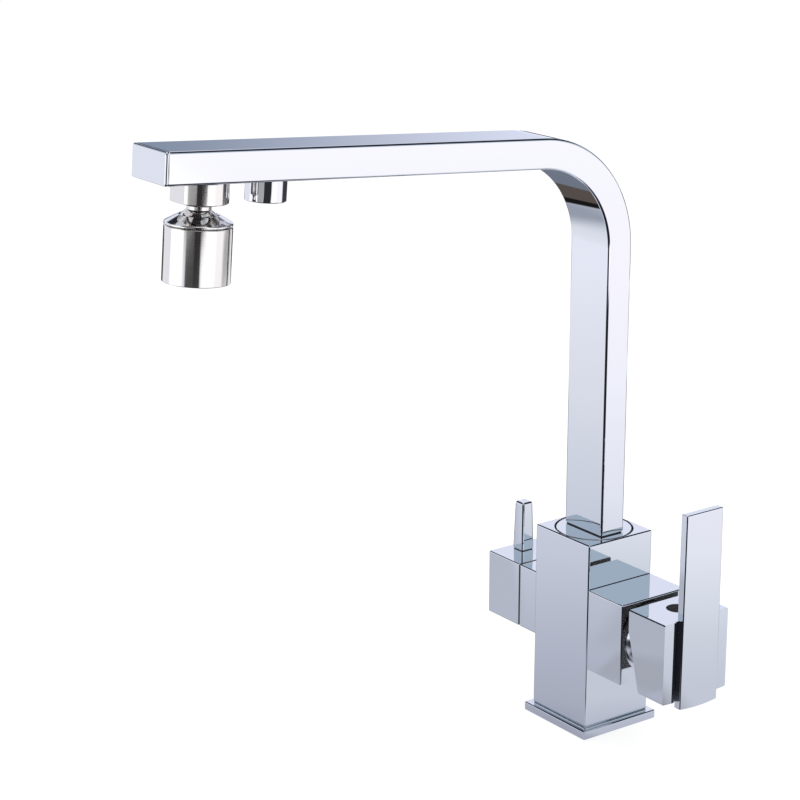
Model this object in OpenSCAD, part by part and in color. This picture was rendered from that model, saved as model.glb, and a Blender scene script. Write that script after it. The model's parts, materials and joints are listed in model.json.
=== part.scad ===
// Three-way kitchen tap: mixer lever on the right, filtered-water knob on the left,
// swivel spout with a flat arm, tilting aerator and a separate filtered-water outlet.
// Origin at the centre of the base plate's underside; +X lever side, -Y spout side, +Z up.

/* [Column and base] */
// Side of the square column
body_w = 45; // [44:0.5:54]
// Height of the column's top above the worktop
body_top = 111.5; // [100:0.5:140]
// Bevel on the long edges of the square blocks
edge_bevel = 0.6; // [0.2:0.1:1.2]
// Ledge of the base plate round the column
plate_ledge = 3.5; // [3:0.5:8]
// Thickness of the base plate
plate_t = 5; // [4:0.5:8]
// Bevel on the base plate's top edge
plate_bevel = 0.8; // [0.2:0.1:1.5]
// Step from the column's face in to its foot
foot_step = 2.5; // [2:0.5:4]
// Width of the sealing ring under the base plate
gasket_w = 2.4; // [1.5:0.1:2.6]
// Thickness of the sealing ring
gasket_t = 2; // [1:0.5:3]

/* [Supply sockets and studs] */
// Bore radius of the hose sockets
hose_r = 4.5; // [4:0.1:5]
// Depth of the hose sockets
hose_depth = 12; // [8:0.5:16]
// Distance of the hot and cold sockets from the centre, towards the lever
riser_x = 12; // [10:0.5:13]
// Half distance between the hot and cold sockets
riser_y = 8; // [7:0.5:9]
// Distance of the filtered socket from the centre, away from the lever
filter_riser_x = 14; // [12:0.5:14]
// Sideways place of the filtered socket
filter_riser_y = 9; // [8:0.5:9.5]
// Bore radius of the stud holes
stud_r = 3.4; // [2.5:0.1:4]
// Half distance between the two stud holes
stud_y = 15.5; // [14:0.5:15.5]
// Depth of the stud holes
stud_depth = 14; // [8:0.5:20]

/* [Mixer valve] */
// Distance of the lever's axis below the column's top
valve_drop = 48.2; // [44:0.1:50]
// Depth of the valve block
block_d = 28; // [28:0.5:34]
// Height of the valve block
block_h = 46; // [44:0.5:50]
// Radius of the cartridge
cart_r = 17.4; // [17:0.1:17.6]
// Radius of the water ports
port_r = 3.2; // [2.5:0.1:3.4]
// Drop of the inlet ports below the lever's axis
inlet_drop = 7.5; // [6.5:0.5:8]
// Rise of the outlet port above the lever's axis
outlet_rise = 8; // [7:0.5:9]
// Radius of the domed bonnet
dome_r = 20.3; // [19.5:0.1:20.6]
// Side of the square lever stem
stem_w = 8; // [6:0.5:9]

/* [Lever] */
// Gap between the valve block and the lever's hub
hub_gap = 5.4; // [4:0.1:8]
// Depth of the hub
hub_d = 28; // [27:0.5:34]
// Height of the hub
hub_h = 45; // [44:0.5:48]
// Run of the hub's slanted underside
hub_slant = 8.6; // [6:0.2:10]
// Thickness of the lever plate
lever_t = 4.5; // [3.5:0.1:7]
// Width of the lever plate at its foot
lever_w = 26.4; // [24:0.2:32]
// Width of the lever plate at its top
lever_top_w = 25.2; // [18:0.2:30]
// Height of the lever plate above the lever's axis
lever_rise = 81.9; // [60:0.5:120]
// Depth of the lever plate below the lever's axis
lever_fall = 26.2; // [24:0.2:30]
// Radius of the round recess on top of the hub
recess_r = 6.2; // [4:0.1:6.6]

/* [Filtered-water valve] */
// Distance of the knob's axis below the column's top
filter_drop = 49; // [46:0.5:51]
// Side of the square stub and knob
filter_w = 37; // [34:0.5:42]
// Length of the fixed stub
stub_d = 18.7; // [18:0.1:24]
// Length of the knob
knob_d = 27.7; // [26:0.1:34]
// Gap between stub and knob
knob_gap = 0.4; // [0.3:0.1:1]
// Width of the pin lever at its foot
pin_w = 8.8; // [7.5:0.1:11]
// Width of the pin lever at its top
pin_top_w = 7.4; // [5:0.1:10]
// Height of the pin lever above the knob
pin_h = 28.5; // [15:0.5:50]
// Distance of the pin lever from the knob's outer face
pin_inset = 8.2; // [7:0.1:10]

/* [Spout] */
// Width of the flat spout section
spout_w = 31; // [28:0.5:34]
// Thickness of the flat spout section
spout_t = 16; // [15:0.5:18]
// Wall of the spout tube
spout_wall = 1.5; // [1:0.1:1.8]
// Rounding of the spout's long edges
spout_edge = 0.8; // [0.5:0.1:0.9]
// Height of the bend's centre above the column's top
post_h = 159.5; // [80:0.5:220]
// Bend radius at the middle of the section
bend_r = 56; // [30:0.5:80]
// Rise of the arm above level, in degrees
arm_rise = 4.5; // [0:0.5:10]
// Length of the straight arm
arm_l = 222.5; // [200:0.5:300]
// Margin from the column's face to the swivel disc
disc_margin = 1.5; // [1.2:0.1:3]
// Thickness of the swivel disc
disc_t = 4; // [3:0.5:5]
// Step from the swivel disc's edge in to the spout's shank
shank_step = 6; // [5.5:0.5:6.5]
// Length of the spout's shank below the disc
shank_l = 32; // [30:0.5:33]

/* [Outlets] */
// Distance of the aerator from the arm's tip
aerator_inset = 28; // [20:0.5:40]
// Distance of the filtered-water outlet from the arm's tip
filter_inset = 64.5; // [56:0.5:90]
// Outer radius of the aerator
head_r = 16.3; // [16:0.1:18]
// Length of the aerator's housing
head_l = 27; // [26:0.5:36]
// Radius of the aerator's adapter
adapter_r = 13.8; // [13.4:0.1:15]
// Height of the adapter below the arm
adapter_h = 10.4; // [10:0.1:14]
// Radius of the aerator's ball
ball_r = 10.8; // [10.4:0.1:11.2]
// Outer radius of the filtered-water nozzle
nozzle_r = 10.05; // [9:0.1:12]
// Length of the filtered-water nozzle
nozzle_l = 11.3; // [8:0.1:16]

/* [Hidden] */
$fn = 96;

chrome = [0.82, 0.84, 0.88];
satin = [0.72, 0.73, 0.75];
brass = [0.78, 0.65, 0.36];
black = [0.12, 0.12, 0.13];
plastic = [0.88, 0.88, 0.84];
ceramic = [0.93, 0.93, 0.9];
steel = [0.62, 0.64, 0.66];

// Clearances
fit = 0.06;
snug = 0.02;
slip = 0.2;
part_gap = 0.3;
over = 1;

// Column
foot_w = body_w - 2 * foot_step;
plate_w = body_w + 2 * plate_ledge;
foot_hole = foot_w + 2 * slip;
gasket_wall = (plate_w - foot_hole) / 2 - gasket_w - plate_bevel - part_gap;
gasket_in = foot_hole + 2 * gasket_wall;
valve_z = body_top - valve_drop;
filter_z = body_top - filter_drop;
disc_r = body_w / 2 - disc_margin;
bearing_t = 1;
seat_z = body_top - disc_t - bearing_t;
shank_r = disc_r - shank_step;
shank_z = body_top - disc_t - shank_l;
floor_drop = 1.7;
chamber_z = valve_z + outlet_rise - port_r - floor_drop;
boss_r = 7;
boss_h = 6;
filter_port_r = 2.5;

// Filtered-water tube
tube_r = 3.175;
tube_bore_r = 2;
tube_seal_r = 0.95;
tube_groove_top = 1.4;

// Retaining screw and groove
screw_r = 2.5;
screw_tip_r = 1.9;
groove_h = 5;
groove_depth = 2.2;
groove_end = 1.5;
groove_r = shank_r - groove_depth;
groove_z = shank_z + groove_h + groove_end;
screw_hex_r = 1.45;
screw_hex_depth = 2.5;
screw_sink = 1;

// Shank seals
o_sec = 1.3;
o_first = 8.5;
o_step = 8;
shank_wall = 4.5;
shank_bore_r = shank_r - shank_wall;
spigot_h = 4;

// Mixer cartridge, measured along the lever's axis from the column's face
floor_t = 4;
base_t = 4.4;
fixed_t = 3.2;
fixed_step = 2.8;
fixed_r = cart_r - fixed_step;
slide_t = 3;
slide_r = 9.6;
carrier_t = 2.6;
lift_gap = 0.2;
flange_t = 1.9;
shell_wall = 2.4;
shell_in = cart_r - shell_wall;
shell_top_t = 2;
neck_r = 11.4;
turret_floor_t = 0.4;
fixed_z = floor_t + base_t;
slide_z = fixed_z + fixed_t;
carrier_z = slide_z + slide_t;
turret_z = carrier_z + carrier_t + lift_gap;
shell_top = turret_z + flange_t + fit + shell_top_t;
pivot_rise = 3.1;
pivot_z = shell_top + pivot_rise;
turret_rise = 5.4;
turret_top = pivot_z + turret_rise;
pin_r = 1.5;
nose_r = 2.2;
nose_neck_r = 2;
nose_z = carrier_z + lift_gap + nose_r;
nose_slack = 0.4;
bar_drop = 2.7;
bar_z = pivot_z - bar_drop;
slot_fit = 0.1;
floor_slot_x = 2.6;
floor_slot_up = 5.8;
seal_w = 1.6;
seal_gap = 0.1;
seal_r = port_r + seal_w;
seal_bore_r = port_r + seal_gap;
seal_sink = 0.8;
peg_r = 1.5;
peg_h = 1.8;
peg_x = 11;
peg_y = 6;
mix_r = 6.5;
mix_depth = 1.5;
nut_wall = 2;
nut_r = cart_r + nut_wall;
nut_bore_r = 13.5;
nut_collar_r = 16.5;
nut_collar_h = 4;
nut_notch = 3;
nut_notches = 4;
dome_h = 8;
dome_lip_t = 2;

// Hub and lever plate, measured along the lever's axis from the column's face
hub_z = block_d + hub_gap;
hub_out = hub_z + hub_d;
hub_bulge = 0.7;
hub_bulge_r = (body_w * body_w / 4 + hub_bulge * hub_bulge) / (2 * hub_bulge);
hub_corner = 1.5;
hub_round = 2;
slant_drop = 11.7;
cavity_gap = 0.7;
cavity_r = dome_r + cavity_gap;
stem_inset = 3.9;
stem_end = hub_out - stem_inset;
recess_depth = 3;
recess_inset = 14.9;
grub_inset = 12.4;
recess_at = hub_out - recess_inset;
grub_at = hub_out - grub_inset;
grub_l = 8;
lever_sink = 1;
lever_groove = 1.2;
lever_bulge = 0.9;
lever_bulge_r = (lever_w * lever_w / 4 + lever_bulge * lever_bulge) / (2 * lever_bulge);
plate_screw_r = 2;
plate_screw_y = 9;
plate_screw_head_r = 3.5;
plate_screw_head_t = 2.2;
plate_screw_l = 14.4;
plate_screw_z = hub_out - plate_screw_l;
plate_screw_bite = 2.6;
plate_screw_hex_r = 1.4;

// Filtered-water valve, measured along its axis from the column's face
stub_floor = 3;
ring_r = 12.6;
ring_d = 5.2;
head_thread_r = 10.35;
fseal_r = 6.3;
fseal_t = 1.6;
cup_r = 7.6;
cup_z = stub_floor + fseal_t;
cup_bore_r = 6.6;
fdisc_r = 6.54;
ffixed_t = 2.3;
fturn_t = 2;
driver_t = 1.9;
spindle_r = 4;
hex_r = 12.5;
hex_t = 4;
hneck_r = 6.5;
hneck_l = 5;
window_w = 5;
window_t = 3.6;
thread_z = stub_floor + ring_d + slip;
knob_z = stub_d + knob_gap;
knob_out = knob_z + knob_d;
knob_cavity_r = 14;
knob_cavity_d = 10.5;
spindle_inset = 3.5;
spindle_end = knob_out - spindle_inset;
pin_at = knob_out - pin_inset;
pin_thread_r = 2.95;
fdisc_port = 3.6;
fdisc_port_r = 1.7;
spline_n = 20;
spline_r = 0.35;
spline_l = 12;

// Spout
bend_z = body_top + post_h;
bend_in = bend_r - spout_t / 2;
inner_w = spout_w - 2 * spout_wall;
inner_t = spout_t - 2 * spout_wall;
inner_edge = spout_edge / 2;
bend_angle = 90 - arm_rise;
lap = 0.5;
lap_step = 0.02;
cap_t = 2;
cap_plug = 3;
aerator_at = arm_l - aerator_inset;
filter_at = arm_l - filter_inset;

// Main outlet, measured down from the arm's underside
boss_out_r = 12.8;
boss_in_r = 10.8;
boss_up = 5.5;
boss_lip_r = 8.8;
boss_lip_t = 1;
adapter_seal_t = 0.8;
adapter_cut = 1.5;
adapter_flat = adapter_r - adapter_cut;
adapter_bore_r = 8.6;
shelf_rise = 7.4;
shelf_z = adapter_h - shelf_rise;
shaft_r = 4.5;
swivel_head_t = 1.9;
stem_top_z = shelf_z - fit - swivel_head_t;
stem_seal_sec = 1.1;
washer_r = 6.65;
washer_t = 1.2;
neck_z = adapter_h + part_gap + washer_t;
stem_thread_r = 3.3;
stem_thread_l = 6.8;
stem_bore_r = 2.4;
ball_drop = 10.9;
ball_z = neck_z + ball_drop;
ball_cut = 6.5;
seat_gap = 0.12;
seat_r = ball_r + seat_gap;
lip_rise = 6.6;
lip_t = 0.8;
lip_w = 0.7;
lip_slack = 0.1;
lip_z = ball_z - lip_rise;
lip_r = sqrt(seat_r * seat_r - pow(lip_rise - lip_t, 2)) + lip_slack;
cone_top_r = lip_r + lip_w;
rim_rise = 3.2;
rim_z = ball_z - rim_rise;
rim_t = 1.2;
ball_neck_r = 5.8;
skirt_step = 1.9;
skirt_wall = 1.2;
skirt_r = head_r - skirt_step;
skirt_in = skirt_r - skirt_wall;
skirt_l = 5.3;
join_z = rim_z + rim_t;
joint_gap = 0.4;
seat_slack = 0.1;
seat_out_r = skirt_in - seat_slack;
seat_up = 5.2;
cap_slope = (skirt_in - lip_r) / (rim_z + rim_t / 2 - lip_z - lip_t);
seat_top_r = lip_r + (ball_z - seat_up - lip_z - lip_t) * cap_slope - seat_slack;
seat_split = 0.2;
low_seat_l = 9.2;
low_seat_bore = 8;
housing_z = join_z + joint_gap;
housing_end = housing_z + head_l;
housing_wall = 3;
mouth_step = 1.1;
housing_in = head_r - housing_wall;
mouth_r = housing_in - mouth_step;
mouth_t = 1.7;
core_z = ball_z + low_seat_l;
core_t = 4.8;
core_gap = 0.1;
core_r = housing_in - core_gap;
core_jets = 18;
core_jet_r = 0.7;
screen_t = 0.6;
screen_rings = 4;
screen_wire = 0.35;
screen_bars = 6;
sleeve_z = core_z + core_t + screen_t;
sleeve_end = housing_end - mouth_t;
sleeve_wall = 1.4;
grid_t = 2;
grid_step = 3.4;
grid_bar = 0.5;
grid_count = floor(core_r / grid_step);

// Filtered-water outlet
nozzle_spigot_r = 5.9;
nozzle_spigot_l = spout_t / 2 - tube_r - part_gap;
nozzle_bore_r = 3;
nozzle_wall = 2;
nozzle_cup_r = nozzle_r - nozzle_wall;
nozzle_cup_d = 2;
insert_t = 1.4;
insert_hole_r = 0.7;
insert_ring = 3;
insert_holes = 6;
block_w = 15;
block_len = 16;
nozzle_block_gap = 1.5;
nozzle_block_h = inner_t - nozzle_block_gap;

// Rectangle with bevelled corners, centred
module bevelled(a, b, c) {
    polygon([[a / 2 - c, -b / 2], [a / 2, -b / 2 + c], [a / 2, b / 2 - c], [a / 2 - c, b / 2],
        [c - a / 2, b / 2], [-a / 2, b / 2 - c], [-a / 2, c - b / 2], [c - a / 2, -b / 2]]);
}

// Rectangle with round corners, centred
module rounded(a, b, r) {
    square([a - 2 * r, b], center = true);
    square([a, b - 2 * r], center = true);
    for (i = [-1, 1], j = [-1, 1]) translate([i * (a / 2 - r), j * (b / 2 - r)]) circle(r, $fn = 32);
}

// Ring between two radii
module ring(r_out, r_in, h) {
    difference() {
        cylinder(r = r_out, h = h);
        translate([0, 0, -over]) cylinder(r = r_in, h = h + 2 * over);
    }
}

// Round seal of circular section
module o_ring(r_mid, r_sec) {
    rotate_extrude() translate([r_mid, 0]) circle(r_sec, $fn = 32);
}

// Frames: z runs outward along the valve axes, y stays up
module on_valve() { translate([body_w / 2, 0, valve_z]) rotate([90, 0, 90]) children(); }
module on_filter() { translate([-body_w / 2, 0, filter_z]) rotate([90, 0, -90]) children(); }
// Frame at the bend's centre: -y runs along the arm
module on_bend() { translate([0, -bend_r, bend_z]) rotate([-arm_rise, 0, 0]) children(); }
// Frame on the arm's underside: z runs down, y towards the tip
module under_arm(s) { on_bend() translate([0, -s, bend_in - lap_step]) rotate([180, 0, 0]) children(); }

// Sections of the spout and of its hollow, grown by a step
module spout_section(grow = 0) { rounded(spout_t + 2 * grow, spout_w + 2 * grow, spout_edge + grow); }
module spout_bore(grow = 0) { rounded(inner_t + 2 * grow, inner_w + 2 * grow, inner_edge + grow); }

module column() {
    color(chrome) difference() {
        union() {
            translate([0, 0, plate_t]) linear_extrude(body_top - plate_t)
                bevelled(body_w, body_w, edge_bevel);
            linear_extrude(plate_t) bevelled(foot_w, foot_w, edge_bevel);
        }
        translate([0, 0, seat_z]) cylinder(r = disc_r + part_gap, h = disc_t + bearing_t + over);
        translate([0, 0, chamber_z]) ring(shank_r + fit, boss_r, body_top - chamber_z);
        translate([0, 0, chamber_z + boss_h]) cylinder(r = boss_r + over, h = body_top - chamber_z);
        // Mixed water out of the cartridge into the chamber
        translate([shank_r - over, 0, valve_z + outlet_rise]) rotate([0, 90, 0])
            cylinder(r = port_r, h = body_w / 2);
        // Hot and cold supply
        for (j = [-1, 1]) {
            translate([riser_x, j * riser_y, 0]) {
                cylinder(r = hose_r, h = hose_depth);
                cylinder(r = port_r, h = valve_z - inlet_drop + port_r);
                translate([0, 0, valve_z - inlet_drop]) rotate([0, 90, 0])
                    cylinder(r = port_r, h = body_w / 2);
            }
            translate([0, j * stud_y, 0]) cylinder(r = stud_r, h = stud_depth);
        }
        // Filtered supply up to its valve, and back to the middle
        translate([-filter_riser_x, filter_riser_y, 0]) {
            cylinder(r = hose_r, h = hose_depth);
            cylinder(r = filter_port_r, h = filter_z + filter_port_r);
            translate([0, 0, filter_z]) rotate([0, -90, 0]) cylinder(r = filter_port_r, h = body_w / 2);
        }
        translate([0, 0, filter_z]) rotate([0, -90, 0]) cylinder(r = filter_port_r, h = body_w / 2 + over);
        translate([0, 0, filter_z - filter_port_r]) cylinder(r = tube_r + fit, h = body_top - filter_z);
        translate([0, 0, chamber_z + boss_h - tube_groove_top - 2 * tube_seal_r - 2 * fit])
            cylinder(r = tube_r + 2 * tube_seal_r + fit, h = 2 * tube_seal_r + 2 * fit);
        // Retaining screw from the back
        translate([0, shank_r - over, groove_z]) rotate([-90, 0, 0])
            cylinder(r = screw_r + snug, h = body_w / 2);
    }
}

module base_plate() {
    color(chrome) difference() {
        intersection() {
            rotate([90, 0, 0]) linear_extrude(plate_w, center = true) plate_side();
            rotate([90, 0, 90]) linear_extrude(plate_w, center = true) plate_side();
        }
        translate([0, 0, -over]) linear_extrude(plate_t + 2 * over)
            bevelled(foot_hole, foot_hole, edge_bevel);
        translate([0, 0, -over]) linear_extrude(gasket_t + over) difference() {
            bevelled(gasket_in + 2 * gasket_w, gasket_in + 2 * gasket_w, edge_bevel);
            bevelled(gasket_in, gasket_in, edge_bevel);
        }
    }
}

module plate_side() {
    polygon([[-plate_w / 2, 0], [plate_w / 2, 0], [plate_w / 2, plate_t - plate_bevel],
        [plate_w / 2 - plate_bevel, plate_t], [plate_bevel - plate_w / 2, plate_t],
        [-plate_w / 2, plate_t - plate_bevel]]);
}

module base_gasket() {
    color(black) linear_extrude(gasket_t) difference() {
        bevelled(gasket_in + 2 * gasket_w, gasket_in + 2 * gasket_w, edge_bevel);
        bevelled(gasket_in, gasket_in, edge_bevel);
    }
}

// Places of the cartridge's two inlets and its outlet
module at_ports() {
    for (p = [[riser_y, -inlet_drop], [-riser_y, -inlet_drop], [0, outlet_rise]])
        translate([p.x, p.y, 0]) children();
}

module valve_block() {
    color(chrome) on_valve() difference() {
        linear_extrude(block_d) bevelled(body_w, block_h, edge_bevel);
        translate([0, 0, floor_t]) cylinder(r = cart_r + snug, h = block_d);
        translate([0, 0, shell_top]) cylinder(r = nut_r + snug, h = block_d);
        translate([0, 0, -over]) at_ports() cylinder(r = port_r, h = floor_t + 2 * over);
        translate([0, 0, floor_t - seal_sink]) at_ports() cylinder(r = seal_r + snug, h = seal_sink + over);
        for (i = [-1, 1]) translate([i * peg_x, peg_y, floor_t - peg_h - part_gap])
            cylinder(r = peg_r + fit, h = peg_h + over);
    }
}

module cartridge_base() {
    color(plastic) on_valve() difference() {
        union() {
            translate([0, 0, floor_t]) cylinder(r = cart_r, h = base_t);
            for (i = [-1, 1]) translate([i * peg_x, peg_y, floor_t - peg_h])
                cylinder(r = peg_r, h = peg_h + over);
        }
        at_ports() cylinder(r = port_r, h = floor_t + base_t + over);
        at_ports() cylinder(r = seal_r + snug, h = floor_t + seal_sink);
    }
}

module port_seals() {
    color(black) on_valve() translate([0, 0, floor_t - seal_sink]) at_ports()
        ring(seal_r, seal_bore_r, 2 * seal_sink);
}

module fixed_disc() {
    color(ceramic) on_valve() translate([0, 0, fixed_z]) difference() {
        cylinder(r = fixed_r, h = fixed_t);
        translate([0, 0, -over]) at_ports() cylinder(r = port_r, h = fixed_t + 2 * over);
    }
}

module cartridge_shell() {
    color(plastic) on_valve() difference() {
        translate([0, 0, fixed_z]) cylinder(r = cart_r, h = shell_top - fixed_z);
        translate([0, 0, fixed_z - over])
            cylinder(r = shell_in, h = shell_top - shell_top_t - fixed_z + over);
        cylinder(r = neck_r + fit, h = shell_top + over);
    }
}

module slide_disc() {
    color(ceramic) on_valve() translate([0, 0, slide_z]) difference() {
        cylinder(r = slide_r, h = slide_t);
        translate([0, 0, -over]) cylinder(r = mix_r, h = mix_depth + over);
    }
}

module disc_carrier() {
    color(black) on_valve() translate([0, 0, carrier_z]) difference() {
        cylinder(r = slide_r, h = carrier_t);
        translate([0, 0, -over]) cylinder(r = nose_r + nose_slack, h = carrier_t + 2 * over);
    }
}

// Turning guide of the cartridge: a flange, a neck and two cheeks for the pivot
module turret() {
    color(plastic) on_valve() difference() {
        union() {
            translate([0, 0, turret_z]) cylinder(r = shell_in - slip, h = flange_t);
            translate([0, 0, turret_z]) cylinder(r = neck_r, h = turret_top - turret_z);
        }
        translate([-stem_w / 2 - slot_fit, -cart_r, turret_z + flange_t + turret_floor_t])
            cube([stem_w + 2 * slot_fit, 2 * cart_r, turret_top]);
        translate([-floor_slot_x, -floor_slot_x, 0])
            cube([2 * floor_slot_x, floor_slot_x + floor_slot_up, turret_top]);
        translate([0, 0, pivot_z]) rotate([0, 90, 0])
            cylinder(r = pin_r + snug, h = 2 * cart_r, center = true);
    }
}

module pivot_pin() {
    color(steel) on_valve() translate([0, 0, pivot_z]) rotate([0, 90, 0])
        cylinder(r = pin_r, h = 2 * neck_r - 2 * over, center = true);
}

module cartridge_nut() {
    color(brass) on_valve() difference() {
        union() {
            translate([0, 0, shell_top]) cylinder(r = nut_r, h = block_d - shell_top);
            translate([0, 0, block_d]) cylinder(r = nut_collar_r, h = nut_collar_h);
        }
        cylinder(r = nut_bore_r, h = block_d + nut_collar_h + over);
        for (k = [0 : nut_notches - 1]) rotate(45 + k * 360 / nut_notches)
            translate([nut_bore_r - over, -nut_notch / 2, block_d + nut_collar_h - nut_notch / 2])
                cube([nut_collar_r, nut_notch, nut_notch]);
    }
}

module valve_bonnet() {
    color(chrome) on_valve() difference() {
        intersection() {
            translate([0, 0, pivot_z]) sphere(dome_r);
            translate([0, 0, block_d]) cylinder(r = dome_r, h = dome_h);
        }
        cylinder(r = nut_bore_r, h = block_d + dome_h + over);
        cylinder(r = nut_collar_r + snug, h = block_d + dome_h - dome_lip_t);
    }
}

module lever_stem() {
    color(steel) on_valve() difference() {
        union() {
            translate([0, 0, nose_z]) sphere(nose_r);
            translate([0, 0, nose_z]) cylinder(r = nose_neck_r, h = bar_z - nose_z + over);
            translate([0, 0, bar_z]) linear_extrude(stem_end - bar_z) square(stem_w, center = true);
        }
        translate([0, 0, pivot_z]) rotate([0, 90, 0])
            cylinder(r = pin_r + fit, h = 2 * stem_w, center = true);
    }
}

// Side outline of the hub: x along the lever's axis, y up
module hub_side() {
    top = hub_h / 2;
    low = -hub_h / 2 - hub_bulge;
    polygon([[hub_z, top], [hub_out, top], [hub_out, low], [hub_z + hub_slant + hub_corner, low],
        [hub_z + hub_slant, low + hub_corner], [hub_z, top - slant_drop]]);
}

// Front outline of the hub with its slightly convex underside and rounded lower corners
module hub_front() {
    low = -hub_h / 2 - hub_bulge;
    side = body_w / 2 - hub_round;
    intersection() {
        translate([0, -hub_bulge / 2]) bevelled(body_w, hub_h + hub_bulge, edge_bevel);
        translate([0, hub_bulge_r + low]) circle(hub_bulge_r, $fn = 360);
        union() {
            translate([-side, low]) square([2 * side, hub_h]);
            translate([-body_w / 2, low + hub_round]) square([body_w, hub_h]);
            for (i = [-1, 1]) translate([i * side, low + hub_round]) circle(hub_round);
        }
    }
}

module lever_hub() {
    color(chrome) on_valve() difference() {
        intersection() {
            rotate([0, -90, 0]) mirror([0, 0, 1]) linear_extrude(body_w, center = true) hub_side();
            linear_extrude(hub_out) hub_front();
        }
        translate([0, 0, pivot_z]) sphere(cavity_r);
        translate([0, 0, pivot_z]) linear_extrude(stem_end - pivot_z)
            square(stem_w + 2 * snug, center = true);
        translate([0, 0, grub_at]) rotate([-90, 0, 0]) cylinder(r = screw_r + snug, h = hub_h);
        translate([0, hub_h / 2 - recess_depth, recess_at]) rotate([-90, 0, 0])
            cylinder(r = recess_r, h = hub_h);
        translate([-lever_w / 2 - lever_groove, -hub_h, hub_out - lever_sink])
            cube([lever_w + 2 * lever_groove, 2 * hub_h, hub_d]);
        for (i = [-1, 1]) translate([i * plate_screw_y, 0, pivot_z]) {
            cylinder(r = plate_screw_r + snug, h = hub_out);
            cylinder(r = plate_screw_head_r + slip, h = plate_screw_z - pivot_z);
        }
    }
}

module lever_plate() {
    color(chrome) on_valve() difference() {
        translate([0, 0, hub_out - lever_sink]) linear_extrude(lever_t) intersection() {
            polygon([[-lever_w / 2, -lever_fall - lever_bulge], [lever_w / 2, -lever_fall - lever_bulge],
                [lever_top_w / 2, lever_rise], [-lever_top_w / 2, lever_rise]]);
            union() {
                translate([0, lever_bulge_r - lever_fall - lever_bulge]) circle(lever_bulge_r, $fn = 360);
                translate([-lever_w, 0]) square([2 * lever_w, lever_rise + over]);
            }
        }
        for (i = [-1, 1]) translate([i * plate_screw_y, 0, hub_out - lever_sink - over])
            cylinder(r = plate_screw_r + snug, h = plate_screw_bite + over);
    }
}

module plate_screws() {
    color(steel) on_valve() for (i = [-1, 1]) translate([i * plate_screw_y, 0, 0]) difference() {
        union() {
            translate([0, 0, plate_screw_z - plate_screw_head_t])
                cylinder(r = plate_screw_head_r, h = plate_screw_head_t);
            translate([0, 0, plate_screw_z - plate_screw_head_t]) cylinder(r = plate_screw_r,
                h = hub_out - lever_sink + plate_screw_bite - plate_screw_z + plate_screw_head_t);
        }
        translate([0, 0, plate_screw_z - plate_screw_head_t - over])
            cylinder(r = plate_screw_hex_r, h = plate_screw_head_t / 2 + over, $fn = 6);
    }
}

module hub_grub_screw() {
    color(steel) on_valve() translate([0, stem_w / 2, grub_at]) rotate([-90, 0, 0]) difference() {
        cylinder(r = screw_r, h = grub_l);
        translate([0, 0, grub_l - screw_hex_depth])
            cylinder(r = screw_hex_r, h = screw_hex_depth + over, $fn = 6);
    }
}

module filter_stub() {
    color(chrome) on_filter() difference() {
        linear_extrude(stub_d) bevelled(filter_w, filter_w, edge_bevel);
        translate([0, 0, stub_floor]) cylinder(r = ring_r, h = ring_d);
        translate([0, 0, stub_floor]) cylinder(r = head_thread_r + snug, h = stub_d);
        translate([0, 0, -over]) cylinder(r = filter_port_r, h = stub_floor + 2 * over);
        translate([-filter_riser_y, 0, -over]) cylinder(r = filter_port_r, h = stub_floor + 2 * over);
    }
}

module filter_headwork() {
    color(brass) on_filter() difference() {
        union() {
            translate([0, 0, cup_z]) cylinder(r = cup_r, h = thread_z - cup_z + over);
            translate([0, 0, thread_z]) cylinder(r = head_thread_r, h = stub_d - thread_z);
            translate([0, 0, stub_d]) rotate(30) cylinder(r = hex_r, h = hex_t, $fn = 6);
            translate([0, 0, thread_z]) cylinder(r = hneck_r, h = stub_d + hex_t + hneck_l - thread_z);
        }
        cylinder(r = cup_bore_r, h = cup_z + ffixed_t + fturn_t + driver_t + slip);
        cylinder(r = spindle_r + fit, h = stub_d + hex_t + hneck_l + over);
        // Water leaves through two windows in the cup
        translate([-window_w / 2, -ring_r, cup_z + ffixed_t + slip])
            cube([window_w, 2 * ring_r, window_t / 2]);
    }
}

module filter_seal() {
    color(black) on_filter() translate([0, 0, stub_floor]) ring(fseal_r, filter_port_r + slip, fseal_t);
}

// Two round ports of the ceramic discs
module disc_ports(h) {
    for (i = [-1, 1]) translate([0, i * fdisc_port, -over]) cylinder(r = fdisc_port_r, h = h + 2 * over);
}

module filter_fixed_disc() {
    color(ceramic) on_filter() translate([0, 0, cup_z]) difference() {
        cylinder(r = fdisc_r, h = ffixed_t);
        disc_ports(ffixed_t);
    }
}

module filter_turn_disc() {
    color(ceramic) on_filter() translate([0, 0, cup_z + ffixed_t]) difference() {
        cylinder(r = fdisc_r, h = fturn_t);
        rotate(90) disc_ports(fturn_t);
    }
}

module filter_spindle() {
    color(brass) on_filter() difference() {
        union() {
            translate([0, 0, cup_z + ffixed_t + fturn_t]) cylinder(r = fdisc_r, h = driver_t);
            translate([0, 0, cup_z + ffixed_t + fturn_t]) cylinder(r = spindle_r,
                h = spindle_end - cup_z - ffixed_t - fturn_t);
        }
        for (k = [0 : spline_n - 1]) rotate(k * 360 / spline_n)
            translate([spindle_r, 0, spindle_end - spline_l])
                cylinder(r = spline_r, h = spline_l + over, $fn = 16);
    }
}

module filter_knob() {
    color(chrome) on_filter() difference() {
        translate([0, 0, knob_z]) linear_extrude(knob_d) bevelled(filter_w, filter_w, edge_bevel);
        cylinder(r = knob_cavity_r, h = knob_z + knob_cavity_d);
        cylinder(r = spindle_r + snug, h = spindle_end);
        translate([0, 0, pin_at]) rotate([-90, 0, 0]) cylinder(r = pin_thread_r + snug, h = filter_w);
    }
}

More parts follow.
